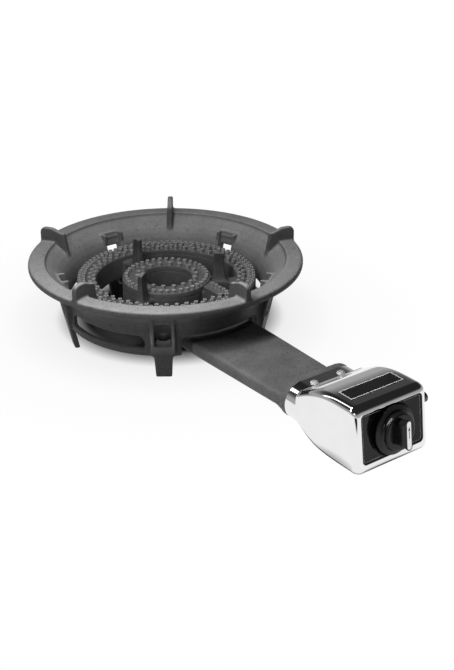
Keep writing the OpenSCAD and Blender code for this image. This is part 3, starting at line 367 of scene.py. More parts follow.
def cast_iron(name, dark, light, rough_low, rough_high):
    """Sand-cast grey iron: cloudy, grained and pitted, with painted shade on its sides and low inside round
    the burner, so the faces that look up stay lighter.
    """
    iron = Finish(name, metallic=0.0)
    iron.shader.inputs["Specular IOR Level"].default_value = 0.22
    cloud = iron.ramp(iron.noise(26, 6, 0.65), dark, light, 0.3, 0.7)
    speck = iron.ramp(iron.noise(850, 3, 0.75), 0.45, 1.0, 0.32, 0.66)
    grainy = iron.mixed(cloud, speck, 0.75, "MULTIPLY")
    pits = iron.ramp(iron.noise(240, 4, 0.7), 0.35, 1.0, 0.3, 0.42)
    pitted = iron.mixed(grainy, pits, 0.6, "MULTIPLY")
    # Painted shade: the sides and the low inside round the burner are darkened in the colour itself.
    painted_light = iron.mixed(pitted, painted_shade_on_sides(iron), 1.0, "MULTIPLY")
    iron.colour(iron.mixed(painted_light, painted_shade_low_inside(iron), 1.0, "MULTIPLY"))
    iron.rough(iron.range(iron.noise(420, 3), rough_low, rough_high, 0.3, 0.7))
    iron.bump(iron.noise(700, 4, 0.7), 0.0009, 0.7)
    iron.bump(iron.noise(120, 3, 0.55), 0.0018, 0.35)
    return iron.material


def jet_iron(name, dark, light, rim_highlight):
    """Burner iron with a painted highlight on the studs' countersunk rims and painted shade in their dark
    holes.
    """
    iron = Finish(name, metallic=0.0)
    body = iron.ramp(iron.noise(400, 3, 0.6), dark, light, 0.3, 0.7)
    part = iron.painted_light("painted_rim_and_hole")
    # Painted highlight on the countersunk rims, then painted near-black shade in the jet holes.
    rim_highlighted = iron.mixed(body, (rim_highlight, rim_highlight, rim_highlight), iron.range(part, 0.0, 1.0, 0.0, 1.0))
    iron.colour(iron.mixed(rim_highlighted, (0.004, 0.004, 0.004), iron.range(part, 0.0, 1.0, 0.0, -1.0)))
    iron.rough(iron.range(iron.noise(700, 3), 0.4, 0.6, 0.3, 0.7))
    iron.bump(iron.noise(1600, 2, 0.6), 0.0002, 0.4)
    return iron.material


def plated(name, level, rough_low, rough_high):
    """Plating with the faint unevenness of its polish."""
    plate = Finish(name, metallic=1.0)
    plate.colour(plate.ramp(plate.noise(60, 2), level * 0.97, level, 0.3, 0.7))
    plate.rough(plate.range(plate.noise(130, 4), rough_low, rough_high, 0.35, 0.7))
    return plate.material


def moulded(name, dark, light, rough_low, rough_high, depth=0.00006, **sockets):
    """Plastic, rubber, paint or ceramic with a fine even grain."""
    plastic = Finish(name, **sockets)
    plastic.colour(plastic.ramp(plastic.noise(70, 3), dark, light, 0.3, 0.7))
    plastic.rough(plastic.range(plastic.noise(MOULD_GRAIN, 2), rough_low, rough_high, 0.3, 0.7))
    plastic.bump(plastic.noise(MOULD_GRAIN, 2), depth, 0.5)
    return plastic.material


def turned_metal(name, dark, light, rough_low, rough_high):
    """Machined or cast small metal parts."""
    metal = Finish(name, metallic=1.0)
    metal.colour(metal.ramp(metal.noise(220, 4), dark, light, 0.3, 0.7))
    metal.rough(metal.range(metal.noise(900, 3), rough_low, rough_high, 0.3, 0.7))
    metal.bump(metal.noise(1400, 2), 0.00005, 0.4)
    return metal.material


finishes = {
    "sand_cast_iron": cast_iron("sand_cast_iron", 0.3, 0.4, 0.42, 0.6),
    "burner_iron": cast_iron("burner_iron", 0.15, 0.22, 0.45, 0.62),
    "jet_iron": jet_iron("jet_iron", 0.08, 0.12, 0.42),
    "mirror_chrome": plated("mirror_chrome", 0.84, 0.05, 0.085),
    "gloss_black": moulded("gloss_black", 0.018, 0.026, 0.06, 0.12, depth=0.00001, Specular_IOR_Level=0.22),
    "silver_line": moulded("silver_line", 0.78, 0.86, 0.4, 0.5),
    "knob_plastic": moulded("knob_plastic", 0.018, 0.025, 0.14, 0.22, Specular_IOR_Level=0.28),
    "zinc_steel": turned_metal("zinc_steel", 0.42, 0.55, 0.26, 0.42),
    "bright_brass": turned_metal("bright_brass", (0.52, 0.36, 0.13), (0.62, 0.44, 0.18), 0.22, 0.36),
    "die_cast": turned_metal("die_cast", 0.32, 0.42, 0.38, 0.52),
    "black_rubber": moulded("black_rubber", 0.014, 0.022, 0.6, 0.75),
    "white_ceramic": moulded("white_ceramic", 0.72, 0.8, 0.12, 0.2),
    "ivory_plastic": moulded("ivory_plastic", (0.6, 0.56, 0.45), (0.68, 0.64, 0.53), 0.3, 0.42),
    "painted_base": moulded("painted_base", 0.02, 0.028, 0.35, 0.5),
    "insert_silver": plated("insert_silver", 0.8, 0.18, 0.28),
    "nozzle_steel": turned_metal("nozzle_steel", 0.16, 0.24, 0.3, 0.45),
    "screw_steel": moulded("screw_steel", 0.5, 0.62, 0.24, 0.34),
}

# The castings

# The air shutter's way: half its straight length with the travel, its radius with a margin, its height
SHUTTER_REACH, SHUTTER_R, SHUTTER_Z = 26.0, 8.35, 36.45
# How deep the filled corner goes, how much of it is flattened, and what is left on the arm's end face
CORNER_DEPTH, CORNER_FLAT, FACE_LEFT = 2.0, 0.95, 0.2


def clear_of_shutter(piece):
    """Presses the casting's filled corner back from where the air shutter slides."""
    for point in piece.data.vertices:
        x, y, z = (level / MM for level in point.co)
        middle = min(SHUTTER_REACH, max(-SHUTTER_REACH, x))
        away = math.hypot(x - middle, z - SHUTTER_Z)
        in_corner = SHUTTER_R - CORNER_DEPTH < away < SHUTTER_R
        if not (in_corner and ARM_END - CORNER_DEPTH < y < ARM_END - FACE_LEFT):
            continue
        share = SHUTTER_R / away
        point.co.x = (middle + (x - middle) * share) * MM
        point.co.z = (SHUTTER_Z + (z - SHUTTER_Z) * share) * MM
        if y > ARM_END - CORNER_FLAT:
            point.co.y = (ARM_END - FACE_LEFT) * MM


stand = cast_form("wok_stand_casting", "wok_stand", finishes["sand_cast_iron"], 0.9, 0.8, 195000)
manifold = cast_form("burner_casting", "burner_manifold", finishes["burner_iron"], 0.9, 0.9, 190000)
clear_of_shutter(manifold)

# The burner's two caps and their jet studs

RING_TOP = 70.0
CAP_LOW = 65.0
OUTER_R, OUTER_IN_R = 102.0, 80.3
INNER_R, INNER_IN_R, INNER_LIP = 50.4, 29.0, 1.0
CAP_STEPS = 180
STUD_H, STUD_FOOT_R, STUD_TOP_R, JET_R = 4.0, 2.7, 2.3, 0.9
ARM_DIR = math.radians(270)


def row_places(radius, count, turned):
    """Places of one ring of studs, from the arm's side round, turned by part of a step."""
    turn = ARM_DIR + (np.arange(count) + turned) * 2 * math.pi / count
    return np.c_[radius * np.cos(turn), radius * np.sin(turn), np.full(count, RING_TOP)]


def jet_stud():
    """One stud: a tapered boss with a countersunk flame hole."""
    top = STUD_H
    boss = [(STUD_FOOT_R + 0.5, -0.1), (STUD_FOOT_R + 0.05, 0.35), (STUD_TOP_R + 0.12, top - 0.55)]
    rim = [(STUD_TOP_R - 0.12, top - 0.08), (STUD_TOP_R - 0.45, top), (JET_R + 0.3, top - 0.1)]
    hole = [(JET_R + 0.15, top - 0.3), (JET_R, top - 0.75), (JET_R * 0.9, top - 3.2), (0, top - 3.2)]
    points, faces = lathe(boss + rim + hole, 14)
    mesh = bpy.data.meshes.new("jet_stud_form")
    mesh.from_pydata([tuple(p) for p in points * MM], [], faces)
    # Marks for the finish: 1 where a highlight is painted on the rim, -1 where shade is painted in the
    # hole.
    part = mesh.attributes.new("painted_rim_and_hole", "FLOAT", "POINT")
    radius = np.hypot(points[:, 0], points[:, 1])
    highlight_on_rim = (points[:, 2] > top - 0.2) & (radius < STUD_TOP_R - 0.3)
    shade_in_hole = (radius < JET_R + 0.2) & (points[:, 2] > 0) & ~highlight_on_rim
    part.data.foreach_set("value", highlight_on_rim * 1.0 - shade_in_hole * 1.0)
    stud = bpy.data.objects.new("jet_stud_form", mesh)
    tidy_mesh(stud, 50)
    return stud


def stud_rows(name, stud, places, finish):
    """Studs set on the given places by geometry nodes and turned into one mesh."""
    tree = bpy.data.node_groups.new(name + "_rows", "GeometryNodeTree")
    tree.interface.new_socket("Geometry", in_out="INPUT", socket_type="NodeSocketGeometry")
    size = tree.interface.new_socket("Stud size", in_out="INPUT", socket_type="NodeSocketFloat")
    tree.interface.new_socket("Geometry", in_out="OUTPUT", socket_type="NodeSocketGeometry")
    source = tree.nodes.new("NodeGroupInput")
    result = tree.nodes.new("NodeGroupOutput")
    form = tree.nodes.new("GeometryNodeObjectInfo")
    form.inputs["Object"].default_value = stud
    unevenness = tree.nodes.new("FunctionNodeRandomValue")
    unevenness.data_type = "FLOAT"
    by_name = {s.identifier: s for s in unevenness.inputs}
    by_name["Min_001"].default_value = 0.97
    by_name["Max_001"].default_value = 1.03
    by_name["Seed"].default_value = 7
    sized = tree.nodes.new("ShaderNodeMath")
    sized.operation = "MULTIPLY"
    place = tree.nodes.new("GeometryNodeInstanceOnPoints")
    real = tree.nodes.new("GeometryNodeRealizeInstances")
    paint = tree.nodes.new("GeometryNodeSetMaterial")
    paint.inputs["Material"].default_value = finish
    link = tree.links.new
    link(source.outputs["Geometry"], place.inputs["Points"])
    link(form.outputs["Geometry"], place.inputs["Instance"])
    link(source.outputs["Stud size"], sized.inputs[0])
    link([o for o in unevenness.outputs if o.type == "VALUE" and o.enabled][0], sized.inputs[1])
    link(sized.outputs[0], place.inputs["Scale"])
    link(place.outputs["Instances"], real.inputs["Geometry"])
    link(real.outputs["Geometry"], paint.inputs["Geometry"])
    link(paint.outputs["Geometry"], result.inputs["Geometry"])
    mesh = bpy.data.meshes.new(name)
    mesh.from_pydata([tuple(p) for p in places * MM], [], [])
    piece = bpy.data.objects.new(name, mesh)
    bpy.context.scene.collection.objects.link(piece)
    rows = piece.modifiers.new("rows", "NODES")
    rows.node_group = tree
    rows[size.identifier] = 1.0
    settled(piece)
    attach(piece, "root")


def cap_profile(r_in, r_out, lip):
    """Section of a ring cap with rounded edges, and a lip along both if it has one."""
    top = RING_TOP + lip
    edge = [(0, CAP_LOW), (0, top - 0.7), (0.25, top - 0.2), (0.7, top)]
    if lip:
        edge += [(1.2, top), (1.6, top - 0.4), (1.9, RING_TOP + 0.1), (2.5, RING_TOP)]
    line = [(r_in + away, z) for away, z in edge] + [(r_out - away, z) for away, z in reversed(edge)]
    return line + [(r_in, CAP_LOW)]


# How far the rows keep from an edge, from a lip and from each other, and how many studs they have
FROM_EDGE, FROM_LIP, ROW_STEP = STUD_FOOT_R + 0.2, STUD_FOOT_R + 1.8, 4.5
OUTER_WIDE_ROW, OUTER_NARROW_ROW, INNER_WIDE_ROW, INNER_NARROW_ROW = 84, 48, 38, 18
BRIDGE_ROW_X, BRIDGE_ROW_Y, BRIDGE_ROW_STEP, BRIDGE_ROW = 27.5, -51.5, 7.0, 4
bridge_row = [(BRIDGE_ROW_X, BRIDGE_ROW_Y - i * BRIDGE_ROW_STEP, RING_TOP) for i in range(BRIDGE_ROW)]
outer_places = np.concatenate(
    [
        row_places(OUTER_R - FROM_EDGE, OUTER_WIDE_ROW, 0),
        row_places(OUTER_R - FROM_EDGE - ROW_STEP, OUTER_WIDE_ROW, 0.5),
        row_places(OUTER_IN_R + FROM_EDGE + ROW_STEP, OUTER_NARROW_ROW, 0),
        row_places(OUTER_IN_R + FROM_EDGE, OUTER_NARROW_ROW, 0.5),
        np.array(bridge_row),
    ]
)
inner_places = np.concatenate(
    [
        row_places(INNER_R - FROM_LIP, INNER_WIDE_ROW, 0.5),
        row_places(INNER_IN_R + FROM_LIP, INNER_NARROW_ROW, 0),
    ]
)

BRIDGE_X, BRIDGE_HALF = 26.0, 8.5


def bridge_tongue():
    """Tongue that carries the flame from ring to ring, its nose cut round to the inner ring."""
    rows = []
    for x in np.linspace(BRIDGE_X - BRIDGE_HALF, BRIDGE_X + BRIDGE_HALF, 15):
        near = -math.sqrt((INNER_R + 0.5) ** 2 - x * x)
        far = -math.sqrt((OUTER_IN_R + 4) ** 2 - x * x)
        section = [(near, CAP_LOW), (near, RING_TOP), (far, RING_TOP), (far, CAP_LOW)]
        rows.append(np.array([(x, y, z) for y, z in section], float))
    return bridged(rows, capped=True)


outer_cap = piece_from(
    "outer_burner_cap", *joined(lathe(cap_profile(OUTER_IN_R, OUTER_R, 0), CAP_STEPS), bridge_tongue()),
    finish=finishes["burner_iron"], sharp=40,
)
stud = jet_stud()
stud_rows("outer_jet_studs", stud, outer_places, finishes["jet_iron"])
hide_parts("outer_burner_ring")
inner_cap = piece_from(
    "inner_burner_cap", *lathe(cap_profile(INNER_IN_R, INNER_R, INNER_LIP), CAP_STEPS),
    finish=finishes["burner_iron"], sharp=40,
)
stud_rows("inner_jet_studs", stud, inner_places, finishes["jet_iron"])
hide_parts("inner_burner_ring")

# The control box


def smooth_between(places, levels, at):
    """Monotone curve through the given stations, so that the plating shows no kinks."""
    x, y = np.asarray(places, float), np.asarray(levels, float)
    h, d = np.diff(x), np.diff(y) / np.diff(x)
    m = np.zeros(len(x))
    m[0], m[-1] = d[0], d[-1]
    for i in range(1, len(x) - 1):
        if d[i - 1] * d[i] > 0:
            w1, w2 = 2 * h[i] + h[i - 1], h[i] + 2 * h[i - 1]
            m[i] = (w1 + w2) / (w1 / d[i - 1] + w2 / d[i])
    at = np.clip(at, x[0], x[-1])
    k = np.clip(np.searchsorted(x, at) - 1, 0, len(h) - 1)
    t = (at - x[k]) / h[k]
    return (
        (1 + 2 * t) * (1 - t) ** 2 * y[k] + t * (1 - t) ** 2 * h[k] * m[k]
        + t * t * (3 - 2 * t) * y[k + 1] + t * t * (t - 1) * h[k] * m[k + 1]
    )


BOX_HALF, BOX_LOW, BOX_HIGH, BOX_DEPTH = 45.0, 13.7, 79.5, 86.2
LOW_R, FRONT_R, FRONT_ROUND = 4.0, 6.6, 6.5
NECK_R, NECK_LEN, SHEET = 20.0, 16.0, 1.2
NECK_END = ARM_END - NECK_LEN
LEAN_FROM, LEAN_OVER = 20.0, 50.0
OPENING_W, OPENING_H, OPENING_R = 38.3, 25.0, 4.5
# Stations along the box: distance from the neck's end, underside, top, lower and upper corner radius
BOX_STATIONS = np.array(
    [
        (0.8, 21.3, 62.4, 17.6, 7.4), (4, 20.6, 64.0, 16.4, 7.6), (8, 19.8, 66.4, 13.8, 8.0),
        (15, 18.1, 70.6, 10.0, 8.6), (23, 16.4, 74.3, 7.4, 8.8), (32, 14.9, 77.0, 5.4, 8.4),
        (42, 14.1, 78.6, 4.4, 7.6), (54, 13.75, 79.4, LOW_R, 7.0), (66, BOX_LOW, BOX_HIGH, LOW_R, FRONT_R),
        (86, BOX_LOW, BOX_HIGH, LOW_R, FRONT_R),
    ]
)
# Blends each section with its neighbours, so that the crown mirrors without ripples
EASING = [(-4.5, 0.1), (-3, 0.2), (-1.5, 0.25), (1.5, 0.25), (3, 0.13), (4.5, 0.07)]


def eased(column, along):
    """Level of one of the box's stations, blended with its neighbours."""
    places, levels = BOX_STATIONS[:, 0], BOX_STATIONS[:, column]
    return sum(share * smooth_between(places, levels, along + away) for away, share in EASING)


def box_section(along, inset=0.0):
    """Ring of points across the box; the plane leans more and more towards the front."""
    low, high, low_r, high_r = (eased(column, along) for column in (1, 2, 3, 4))
    line = rounded_outline(
        BOX_HALF - inset, low + inset, high - inset, max(low_r - inset, 0.5), max(high_r - inset, 0.5)
    )
    part = min(1.0, max(0.0, (along - LEAN_FROM) / LEAN_OVER))
    lean = math.tan(LEAN) * part * part * (3 - 2 * part)
    y = NECK_END - along + (line[:, 1] - KNOB_Z) * lean
    return np.c_[line[:, 0], y, line[:, 1]]


def neck_section(y, inset=0.0):
    """Ring of points across the obround neck."""
    half_h, radius = NECK_R - inset, NECK_R - inset - 0.1
    line = rounded_outline(BOX_HALF - inset, NECK_MIDDLE - half_h, NECK_MIDDLE + half_h, radius, radius)
    return np.c_[line[:, 0], np.full(len(line), y), line[:, 1]]


def front_section(out, inset):
    """Ring on the leaning front, drawn in from the box's sides."""
    low = (BOX_LOW + inset - KNOB_Z) / math.cos(LEAN)
    high = (BOX_HIGH - inset - KNOB_Z) / math.cos(LEAN)
    radius = max(LOW_R, FRONT_R - 0.4 * inset)
    line = rounded_outline(BOX_HALF - inset, low, high, radius, radius)
    return on_axis(np.c_[line, np.full(len(line), out)])


def opening_section(out, grow):
    """Ring along the edge of the front's opening, or wider by some growth."""
    line = rounded_outline(
        OPENING_W + grow, -OPENING_H - grow, OPENING_H + grow, OPENING_R + grow, OPENING_R + grow
    )
    return on_axis(np.c_[line, np.full(len(line), out)])


def box_shell():
    """Outer skin of the box from the neck's mouth to the opening's edge, then its inner wall."""
    mouth, front_at = ARM_END - 0.3, BOX_DEPTH - FRONT_ROUND
    rings = [neck_section(mouth, SHEET), neck_section(mouth, 0.25), neck_section(mouth - 0.3)]
    rings += [neck_section(y) for y in np.linspace(ARM_END - 2, NECK_END, 8)]
    rings += [box_section(along) for along in np.linspace(0.8, 8, 9)]
    rings += [box_section(along) for along in np.linspace(9, front_at, 46)]
    for turn in np.radians(np.linspace(15, 90, 6)):
        out = SHEET - FRONT_ROUND * (1 - math.sin(turn))
        rings.append(front_section(out, FRONT_ROUND * (1 - math.cos(turn))))
    rings += [opening_section(out, grow) for out, grow in ((1.2, 0.5), (1.05, 0.12), (0.6, 0), (-0.4, 0))]
    rings += [front_section(-0.4, FRONT_ROUND)]
    rings += [box_section(along, SHEET) for along in np.linspace(front_at, 2, 24)]
    rings += [neck_section(y, SHEET) for y in np.linspace(NECK_END, ARM_END - 2, 5)]
    return bridged(rings, closed=True)


housing = piece_from("chrome_housing", *box_shell(), finish=finishes["mirror_chrome"], sharp=38)
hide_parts("control_housing")


def fascia_form():
    """Glossy plate with the pressed dish round the knob."""
    count = len(rounded_outline(1, -1, 1, 0.2, 0.2))
    start = -math.pi / 2
    turn = start + np.arange(count) * 2 * math.pi / count

    def circle(radius, out):
        return on_axis(np.c_[radius * np.cos(turn), radius * np.sin(turn), np.full(count, out)])

    dish = [(26.6, 0.0), (26.1, -0.1), (25.6, -0.7), (24.9, -1.7), (24.2, -2.0), (14, -2.0), (6.2, -2.0)]
    back = [(6.2, -3.3), (24.6, -3.3), (26.4, -1.4)]
    rings = [opening_section(out, grow) for out, grow in ((-1.4, -0.1), (-0.25, -0.1), (0, -0.35))]
    rings += [circle(radius, out) for radius, out in dish + back]
    return bridged(rings, closed=True)


def frame_line(width, inset, proud, stop):
    """Thin raised line round each end of the fascia; it stops where the dish meets the plate's edge."""
    section = [(0, -0.2), (0, proud / 3), (0.3 * width, proud)]
    section += [(0.7 * width, proud), (width, proud / 3), (width, -0.2)]
    ends = []
    for side in (1, -1):
        runs = []
        for inward, out in section:
            w, h, r = (full - inset - inward for full in (OPENING_W, OPENING_H, OPENING_R))
            corners = arc((w - r, r - h), r, -90, 0, 8) + arc((w - r, h - r), r, 0, 90, 8)
            run = [(stop, -h)] + corners + [(stop, h)]
            runs.append(on_axis([(side * x, y, out) for x, y in run]))
        ends.append(bridged([np.array(ring) for ring in zip(*runs)], capped=True))
    return joined(*ends)


fascia = piece_from("fascia", *fascia_form(), finish=finishes["gloss_black"], sharp=38)
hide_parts("fascia_plate")
piece_from(
    "fascia_line", *frame_line(width=0.6, inset=1.9, proud=0.08, stop=14.2),
    finish=finishes["silver_line"], sharp=30,
)

LABEL_HALF_W, LABEL_HALF_L, LABEL_Y, LABEL_TOP = 33.5, 9.7, -341.6, 79.7


def label_ring(inset, z):
    """Ring along the top plate's edge, drawn in by an inset."""
    half_w, half_l, r = LABEL_HALF_W - inset, LABEL_HALF_L - inset, 1.2 - 0.3 * inset
    line = rounded_outline(half_w, LABEL_Y - half_l, LABEL_Y + half_l, r, r, 4, 4, 8)
    return np.c_[line, np.full(len(line), z)]


plate_section = [(0, -0.75), (0, -0.15), (0.2, 0), (0.8, 0)]
plate_rings = [label_ring(inset, LABEL_TOP + rise) for inset, rise in plate_section]
top_plate = piece_from(
    "top_panel", *bridged(plate_rings, capped=True), finish=finishes["gloss_black"], sharp=38
)
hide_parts("top_plate")
TOP_LINE_IN, TOP_LINE_W, TOP_LINE_PROUD = 0.6, 1.1, 0.1
line_section = [(0, -0.2), (0, 0.03), (0.3, TOP_LINE_PROUD), (0.7, TOP_LINE_PROUD), (1, 0.03), (1, -0.2)]
line_rings = [
    label_ring(TOP_LINE_IN + across * TOP_LINE_W, LABEL_TOP + rise) for across, rise in line_section
]
piece_from("top_panel_line", *bridged(line_rings, closed=True), finish=finishes["silver_line"], sharp=60)

# The knob

KNOB_R, KNOB_BACK, KNOB_OUT = 24.3, 2.5, 22.5


def knob_skirt():
    """Turned skirt with a rounded rim, rising to the raised middle under the grip."""
    r, b = KNOB_R, KNOB_BACK
    back = [(0, b + 1.6), (r - 5, b + 1.6), (r - 2, b), (r - 0.5, b)]
    rim = [(r - 0.1, b + 0.3), (r, b + 0.8), (r, b + 1.5)] + arc((r - 0.5, b + 1.6), 0.5, 0, 80, 3)
    slope = [(r - 2.4, b + 2.5), (r - 4, b + 3.0), (r - 5.2, b + 3.8), (r - 5.9, b + 5.2), (r - 6.4, b + 7)]
    middle = arc((r - 7.8, b + 8.4), 1.4, 0, 90, 4) + [(r - 10, b + 9.8), (0, b + 9.8)]
    return lathe(back + rim + slope + middle, 96, on_knob=True)


def bar_section(half_len, half_w, out):
    """Rounded bar across the knob, long side up."""
    line = rounded_outline(half_w, -half_len, half_len, half_w - 0.05, half_w - 0.05, 10, 6, 4)
    return on_axis(np.c_[line, np.full(len(line), out)])


def knob_grip():
    """Bar of the knob: wide at its foot, with a rounded nose and a seat for the insert."""
    foot, nose = KNOB_BACK + 7.5, KNOB_OUT
    stations = [(12.6, 5.6, foot), (13.0, 5.3, foot + 2.2), (14.6, 4.2, nose - 1.2)]
    stations += [(14.95, 4.05, nose - 0.7), (15.1, 3.85, nose - 0.2), (15.0, 3.6, nose)]
    stations += [(14.3, 2.9, nose), (14.25, 2.8, nose - 0.9)]
    return bridged([bar_section(*station) for station in stations], capped=True)


knob = piece_from(
    "knob", *joined(knob_skirt(), knob_grip()), body="knob", finish=finishes["knob_plastic"], sharp=35
)
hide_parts("control_knob")
insert_stations = [(14.1, 2.65, KNOB_OUT - 1.1), (14.1, 2.65, KNOB_OUT - 0.1), (13.9, 2.45, KNOB_OUT + 0.1)]
insert = piece_from(
    "grip_insert", *bridged([bar_section(*station) for station in insert_stations], capped=True),
    body="knob", finish=finishes["insert_silver"], sharp=35,
)
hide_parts("knob_insert")


def pointer_arrow():
    """Small arrow let into the insert, its head towards the knob's top."""
    half_w, head_half, tail, neck, tip = 0.4, 1.25, -3.0, 5.0, 9.0
    right = [(half_w, tail), (half_w, neck), (head_half, neck)]
    outline = right + [(0.0, tip)] + [(-x, y) for x, y in reversed(right)]
    rings = [on_axis([(x, y, KNOB_OUT + out) for x, y in outline]) for out in (-0.1, 0.12)]
    return bridged(rings, capped=True)


piece_from("insert_arrow", *pointer_arrow(), body="knob", finish=finishes["knob_plastic"], sharp=30)

# Everything else, from its CAD form with the edges broken

small_parts = [
    ("burner_bolts", "nozzle_steel", "root", 0.4),
    ("spark_electrode", "white_ceramic", "root", 0.2),
    ("neck_screws", "screw_steel", "root", 0.2),
    ("base_plate", "painted_base", "root", 0.25),
    ("base_screws", "zinc_steel", "root", 0.3),
    ("rubber_feet", "black_rubber", "root", 0.5),
    ("valve_bracket", "zinc_steel", "root", 0.2),
    ("bracket_screws", "zinc_steel", "root", 0.3),
    ("valve_body", "bright_brass", "root", 0.25),
    ("valve_bonnet", "die_cast", "root", 0.25),
    ("bonnet_screws", "zinc_steel", "root", 0.3),
    ("valve_screws", "zinc_steel", "root", 0.2),
    ("jet_holder", "bright_brass", "root", 0.25),
    ("outer_jet", "bright_brass", "root", 0.2),
    ("inner_jet", "bright_brass", "root", 0.2),
    ("inlet_nozzle", "nozzle_steel", "root", 0.25),
    ("piezo_igniter", "ivory_plastic", "root", 0.3),
    ("igniter_screws", "zinc_steel", "root", 0.2),
    ("air_shutter", "zinc_steel", "shutter", 0.45),
    ("shutter_screw", "zinc_steel", "root", 0.3),
    ("valve_plug", "bright_brass", "plug", 0.2),
    ("valve_spindle", "zinc_steel", "knob", 0.2),
    ("igniter_cam", "ivory_plastic", "knob", 0.2),
]
for node, finish, body, bevel in small_parts:
    part = softened(node + "_part", node, finishes[finish], body, bevel)
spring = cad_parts["return_spring"]
spring.data.materials.clear()
spring.data.materials.append(finishes["zinc_steel"])

# Floor, light and camera

FLOOR_REACH = 30.0
SHADE_MIDDLE = (0.03, 0.04, 0.0)
FILL_SHARE = 0.05


def seen_directly(finish):
    """1 for camera, glossy and transmission rays, 0 for what lights the object."""
    rays = finish.node("ShaderNodeLightPath")
    seen = rays.outputs["Is Camera Ray"]
    for kind in ("Is Glossy Ray", "Is Transmission Ray"):
        either = finish.node("ShaderNodeMath", operation="MAXIMUM")
        finish.link(seen, either.inputs[0])
        finish.link(rays.outputs[kind], either.inputs[1])
        seen = either.outputs[0]
    return seen


# Painted shade on the floor that only mirrors see: place, share of dark near and far from it, and how near
# and far
PAINTED_SHADOW_UNDER_BOX = ((0.004, -0.322, 0.0), 1.0, 0.0, 0.055, 0.077)
PAINTED_STAND_REFLECTION = ((-0.222, -0.562, 0.0), 1.0, 0.0, 0.084, 0.104)
PAINTED_DIM_FAR_FLOOR = ((0.0, -0.2, 0.0), 0.0, 0.55, 0.45, 1.2)


def painted_mirror_shade(finish):
    """Share of painted shade in what polished metal mirrors of the floor: a painted shadow under the box, a
    painted reflection of a dark camera stand, and a dimmer far floor.
    """
    total = None
    for place, close_by, far_off, near, far in (PAINTED_SHADOW_UNDER_BOX, PAINTED_STAND_REFLECTION, PAINTED_DIM_FAR_FLOOR):
        away = finish.node("ShaderNodeVectorMath", operation="DISTANCE")
        finish.link(finish.place, away.inputs[0])
        away.inputs[1].default_value = place
        share = finish.range(away.outputs["Value"], close_by, far_off, near, far)
        if total is None:
            total = share
            continue
        both = finish.node("ShaderNodeMath", operation="MAXIMUM")
        finish.link(total, both.inputs[0])
        finish.link(share, both.inputs[1])
        total = both.outputs[0]
    mirrored = finish.node("ShaderNodeMath", operation="MULTIPLY")
    finish.link(total, mirrored.inputs[0])
    finish.link(finish.node("ShaderNodeLightPath").outputs["Is Glossy Ray"], mirrored.inputs[1])
    return mirrored.outputs[0]


def grey_stops(ramp, stops):
    """Gives a colour ramp its grey levels at the given places."""
    elements = ramp.color_ramp.elements
    elements[0].position, elements[1].position = stops[0][0], stops[-1][0]
    for place, _ in stops[1:-1]:
        elements.new(place)
    for element, (_, level) in zip(elements, stops):
        element.color = (level, level, level, 1.0)


def studio_floor():
    """Paper floor with a painted shadow under the burner, fading to clear white around it."""
    mesh = bpy.data.meshes.new("studio_floor")
    corners = [(x * FLOOR_REACH, y * FLOOR_REACH, 0) for x, y in ((-1, -1), (1, -1), (1, 1), (-1, 1))]
    mesh.from_pydata(corners, [], [(0, 1, 2, 3)])
    floor = bpy.data.objects.new("studio_floor", mesh)
    bpy.context.scene.collection.objects.link(floor)
    paper = Finish("studio_paper")
    paper.shader.inputs["Roughness"].default_value = 0.9
    paper.shader.inputs["Specular IOR Level"].default_value = 0.0
    away = paper.node("ShaderNodeVectorMath", operation="DISTANCE")
    away.inputs[1].default_value = SHADE_MIDDLE
    paper.link(paper.place, away.inputs[0])
    # Painted shadow: the paper's own colour is dark under the burner and pales outwards.
    shade = paper.ramp(away.outputs["Value"], 0.07, 0.55, 0.11, 0.35)
    paper.colour(paper.mixed(shade, paper.ramp(paper.noise(0.4, 1), 0.97, 1.0), 1.0, "MULTIPLY"))
    clear = paper.node("ShaderNodeValToRGB")
    grey_stops(clear, [(0.1, 0.0), (0.118, 0.3), (0.138, 0.86), (0.2, 0.96), (0.32, 1.0)])
    paper.link(away.outputs["Value"], clear.inputs["Fac"])
    share = paper.node("ShaderNodeMath", operation="MULTIPLY")
    paper.link(seen_directly(paper), share.inputs[0])
    paper.link(clear.outputs["Color"], share.inputs[1])
    glow = paper.node("ShaderNodeEmission")
    glow.inputs["Color"].default_value = (1, 1, 1, 1)
    blend = paper.node("ShaderNodeMixShader")
    paper.link(share.outputs[0], blend.inputs[0])
    paper.link(paper.shader.outputs[0], blend.inputs[1])
    paper.link(glow.outputs[0], blend.inputs[2])
    # Painted shade and reflection for mirrors: the floor turns black where glossy rays see those places.
    shaded = paper.node("ShaderNodeMixShader")
    paper.link(painted_mirror_shade(paper), shaded.inputs[0])
    paper.link(blend.outputs[0], shaded.inputs[1])
    black = paper.node("ShaderNodeEmission")
    black.inputs["Strength"].default_value = 0.01
    paper.link(black.outputs[0], shaded.inputs[2])
    paper.link(shaded.outputs[0], paper.tree.nodes["Material Output"].inputs["Surface"])
    mesh.materials.append(paper.material)


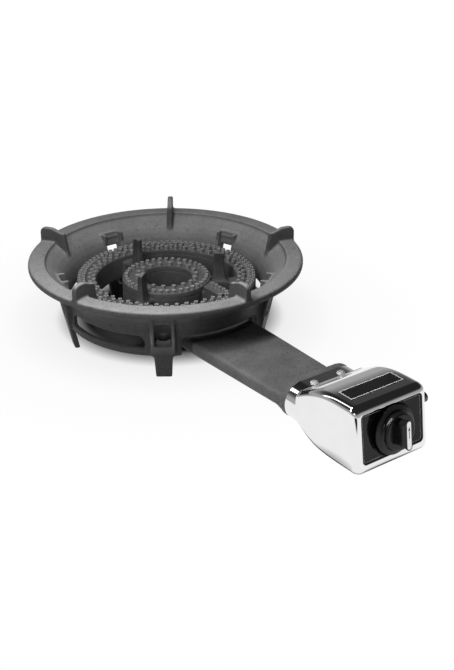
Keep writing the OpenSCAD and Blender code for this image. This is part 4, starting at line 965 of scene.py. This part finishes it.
def studio_world():
    """White to the camera; in mirrors pale low down and dark overhead, and a dim fill for the shadows."""
    world = bpy.data.worlds.new("studio")
    world.use_nodes = True
    tree = world.node_tree
    nodes, link = tree.nodes, tree.links.new
    direction = nodes.new("ShaderNodeTexCoord").outputs["Generated"]
    height = nodes.new("ShaderNodeSeparateXYZ")
    link(direction, height.inputs[0])
    sky = nodes.new("ShaderNodeValToRGB")
    grey_stops(sky, [(0.0, 0.42), (0.2, 0.42), (0.34, 0.24), (0.46, 0.07), (0.6, 0.02), (1.0, 0.02)])
    link(height.outputs["Z"], sky.inputs["Fac"])
    rays = nodes.new("ShaderNodeLightPath")
    level = nodes.new("ShaderNodeMapRange")
    level.inputs["To Min"].default_value = FILL_SHARE
    level.inputs["To Max"].default_value = 1.0
    link(rays.outputs["Is Glossy Ray"], level.inputs["Value"])
    dimmed = nodes.new("ShaderNodeMath")
    dimmed.operation = "MULTIPLY"
    link(sky.outputs["Color"], dimmed.inputs[0])
    link(level.outputs["Result"], dimmed.inputs[1])
    seen = nodes.new("ShaderNodeMath")
    seen.operation = "MAXIMUM"
    link(dimmed.outputs[0], seen.inputs[0])
    link(rays.outputs["Is Camera Ray"], seen.inputs[1])
    link(seen.outputs[0], nodes["Background"].inputs["Strength"])
    nodes["Background"].inputs["Color"].default_value = (1, 1, 1, 1)
    bpy.context.scene.world = world


def soft_box(name, power, place, target, width, height):
    """Rectangular studio lamp that the camera doesn't see."""
    light = bpy.data.lights.new(name, "AREA")
    light.energy = power
    light.shape = "RECTANGLE"
    light.size, light.size_y = width, height
    holder = bpy.data.objects.new(name, light)
    bpy.context.scene.collection.objects.link(holder)
    holder.location = place
    holder.rotation_euler = (Vector(target) - Vector(place)).to_track_quat("-Z", "Y").to_euler()
    holder.visible_camera = False
    return holder


studio_floor()
studio_world()
burner_front = (0.0, -0.08, 0.08)
soft_box("key", 1.9, (-0.21, -0.16, 0.4), (-0.05, -0.13, 0.08), 0.06, 0.4)
soft_box("corner_light", 2.0, (-1.3, -1.0, 0.9), burner_front, 0.5, 0.4)
soft_box("edge_light", 0.25, (-0.2, 0.06, 0.42), (-0.04, -0.1, 0.08), 0.08, 0.46)
back_fill = soft_box("back_fill", 2.4, (0.9, 1.3, 0.4), burner_front, 1.0, 0.6)
back_fill.visible_glossy = False

bpy.context.scene.view_settings.view_transform = "Standard"

# The camera stands where the photograph's did; its focal length is in pixels of the photograph
PHOTO_HEIGHT_PX, FOCAL_PX, SENSOR = 670.0, 1175.45, 36.0
AZIMUTH, ELEVATION, DISTANCE = math.radians(-36.49), math.radians(26.43), 1.14775
AIM = Vector((-0.06611, -0.20539, 0.09723))

camera_data = bpy.data.cameras.new("camera")
camera_data.sensor_width = SENSOR
camera_data.lens = FOCAL_PX * SENSOR / PHOTO_HEIGHT_PX
camera_data.clip_end = 100.0
camera = bpy.data.objects.new("camera", camera_data)
bpy.context.scene.collection.objects.link(camera)
level = math.cos(ELEVATION)
back = Vector((math.sin(AZIMUTH) * level, -math.cos(AZIMUTH) * level, math.sin(ELEVATION)))
camera.location = AIM + back * DISTANCE
camera.rotation_euler = back.to_track_quat("Z", "Y").to_euler()
bpy.context.scene.camera = camera
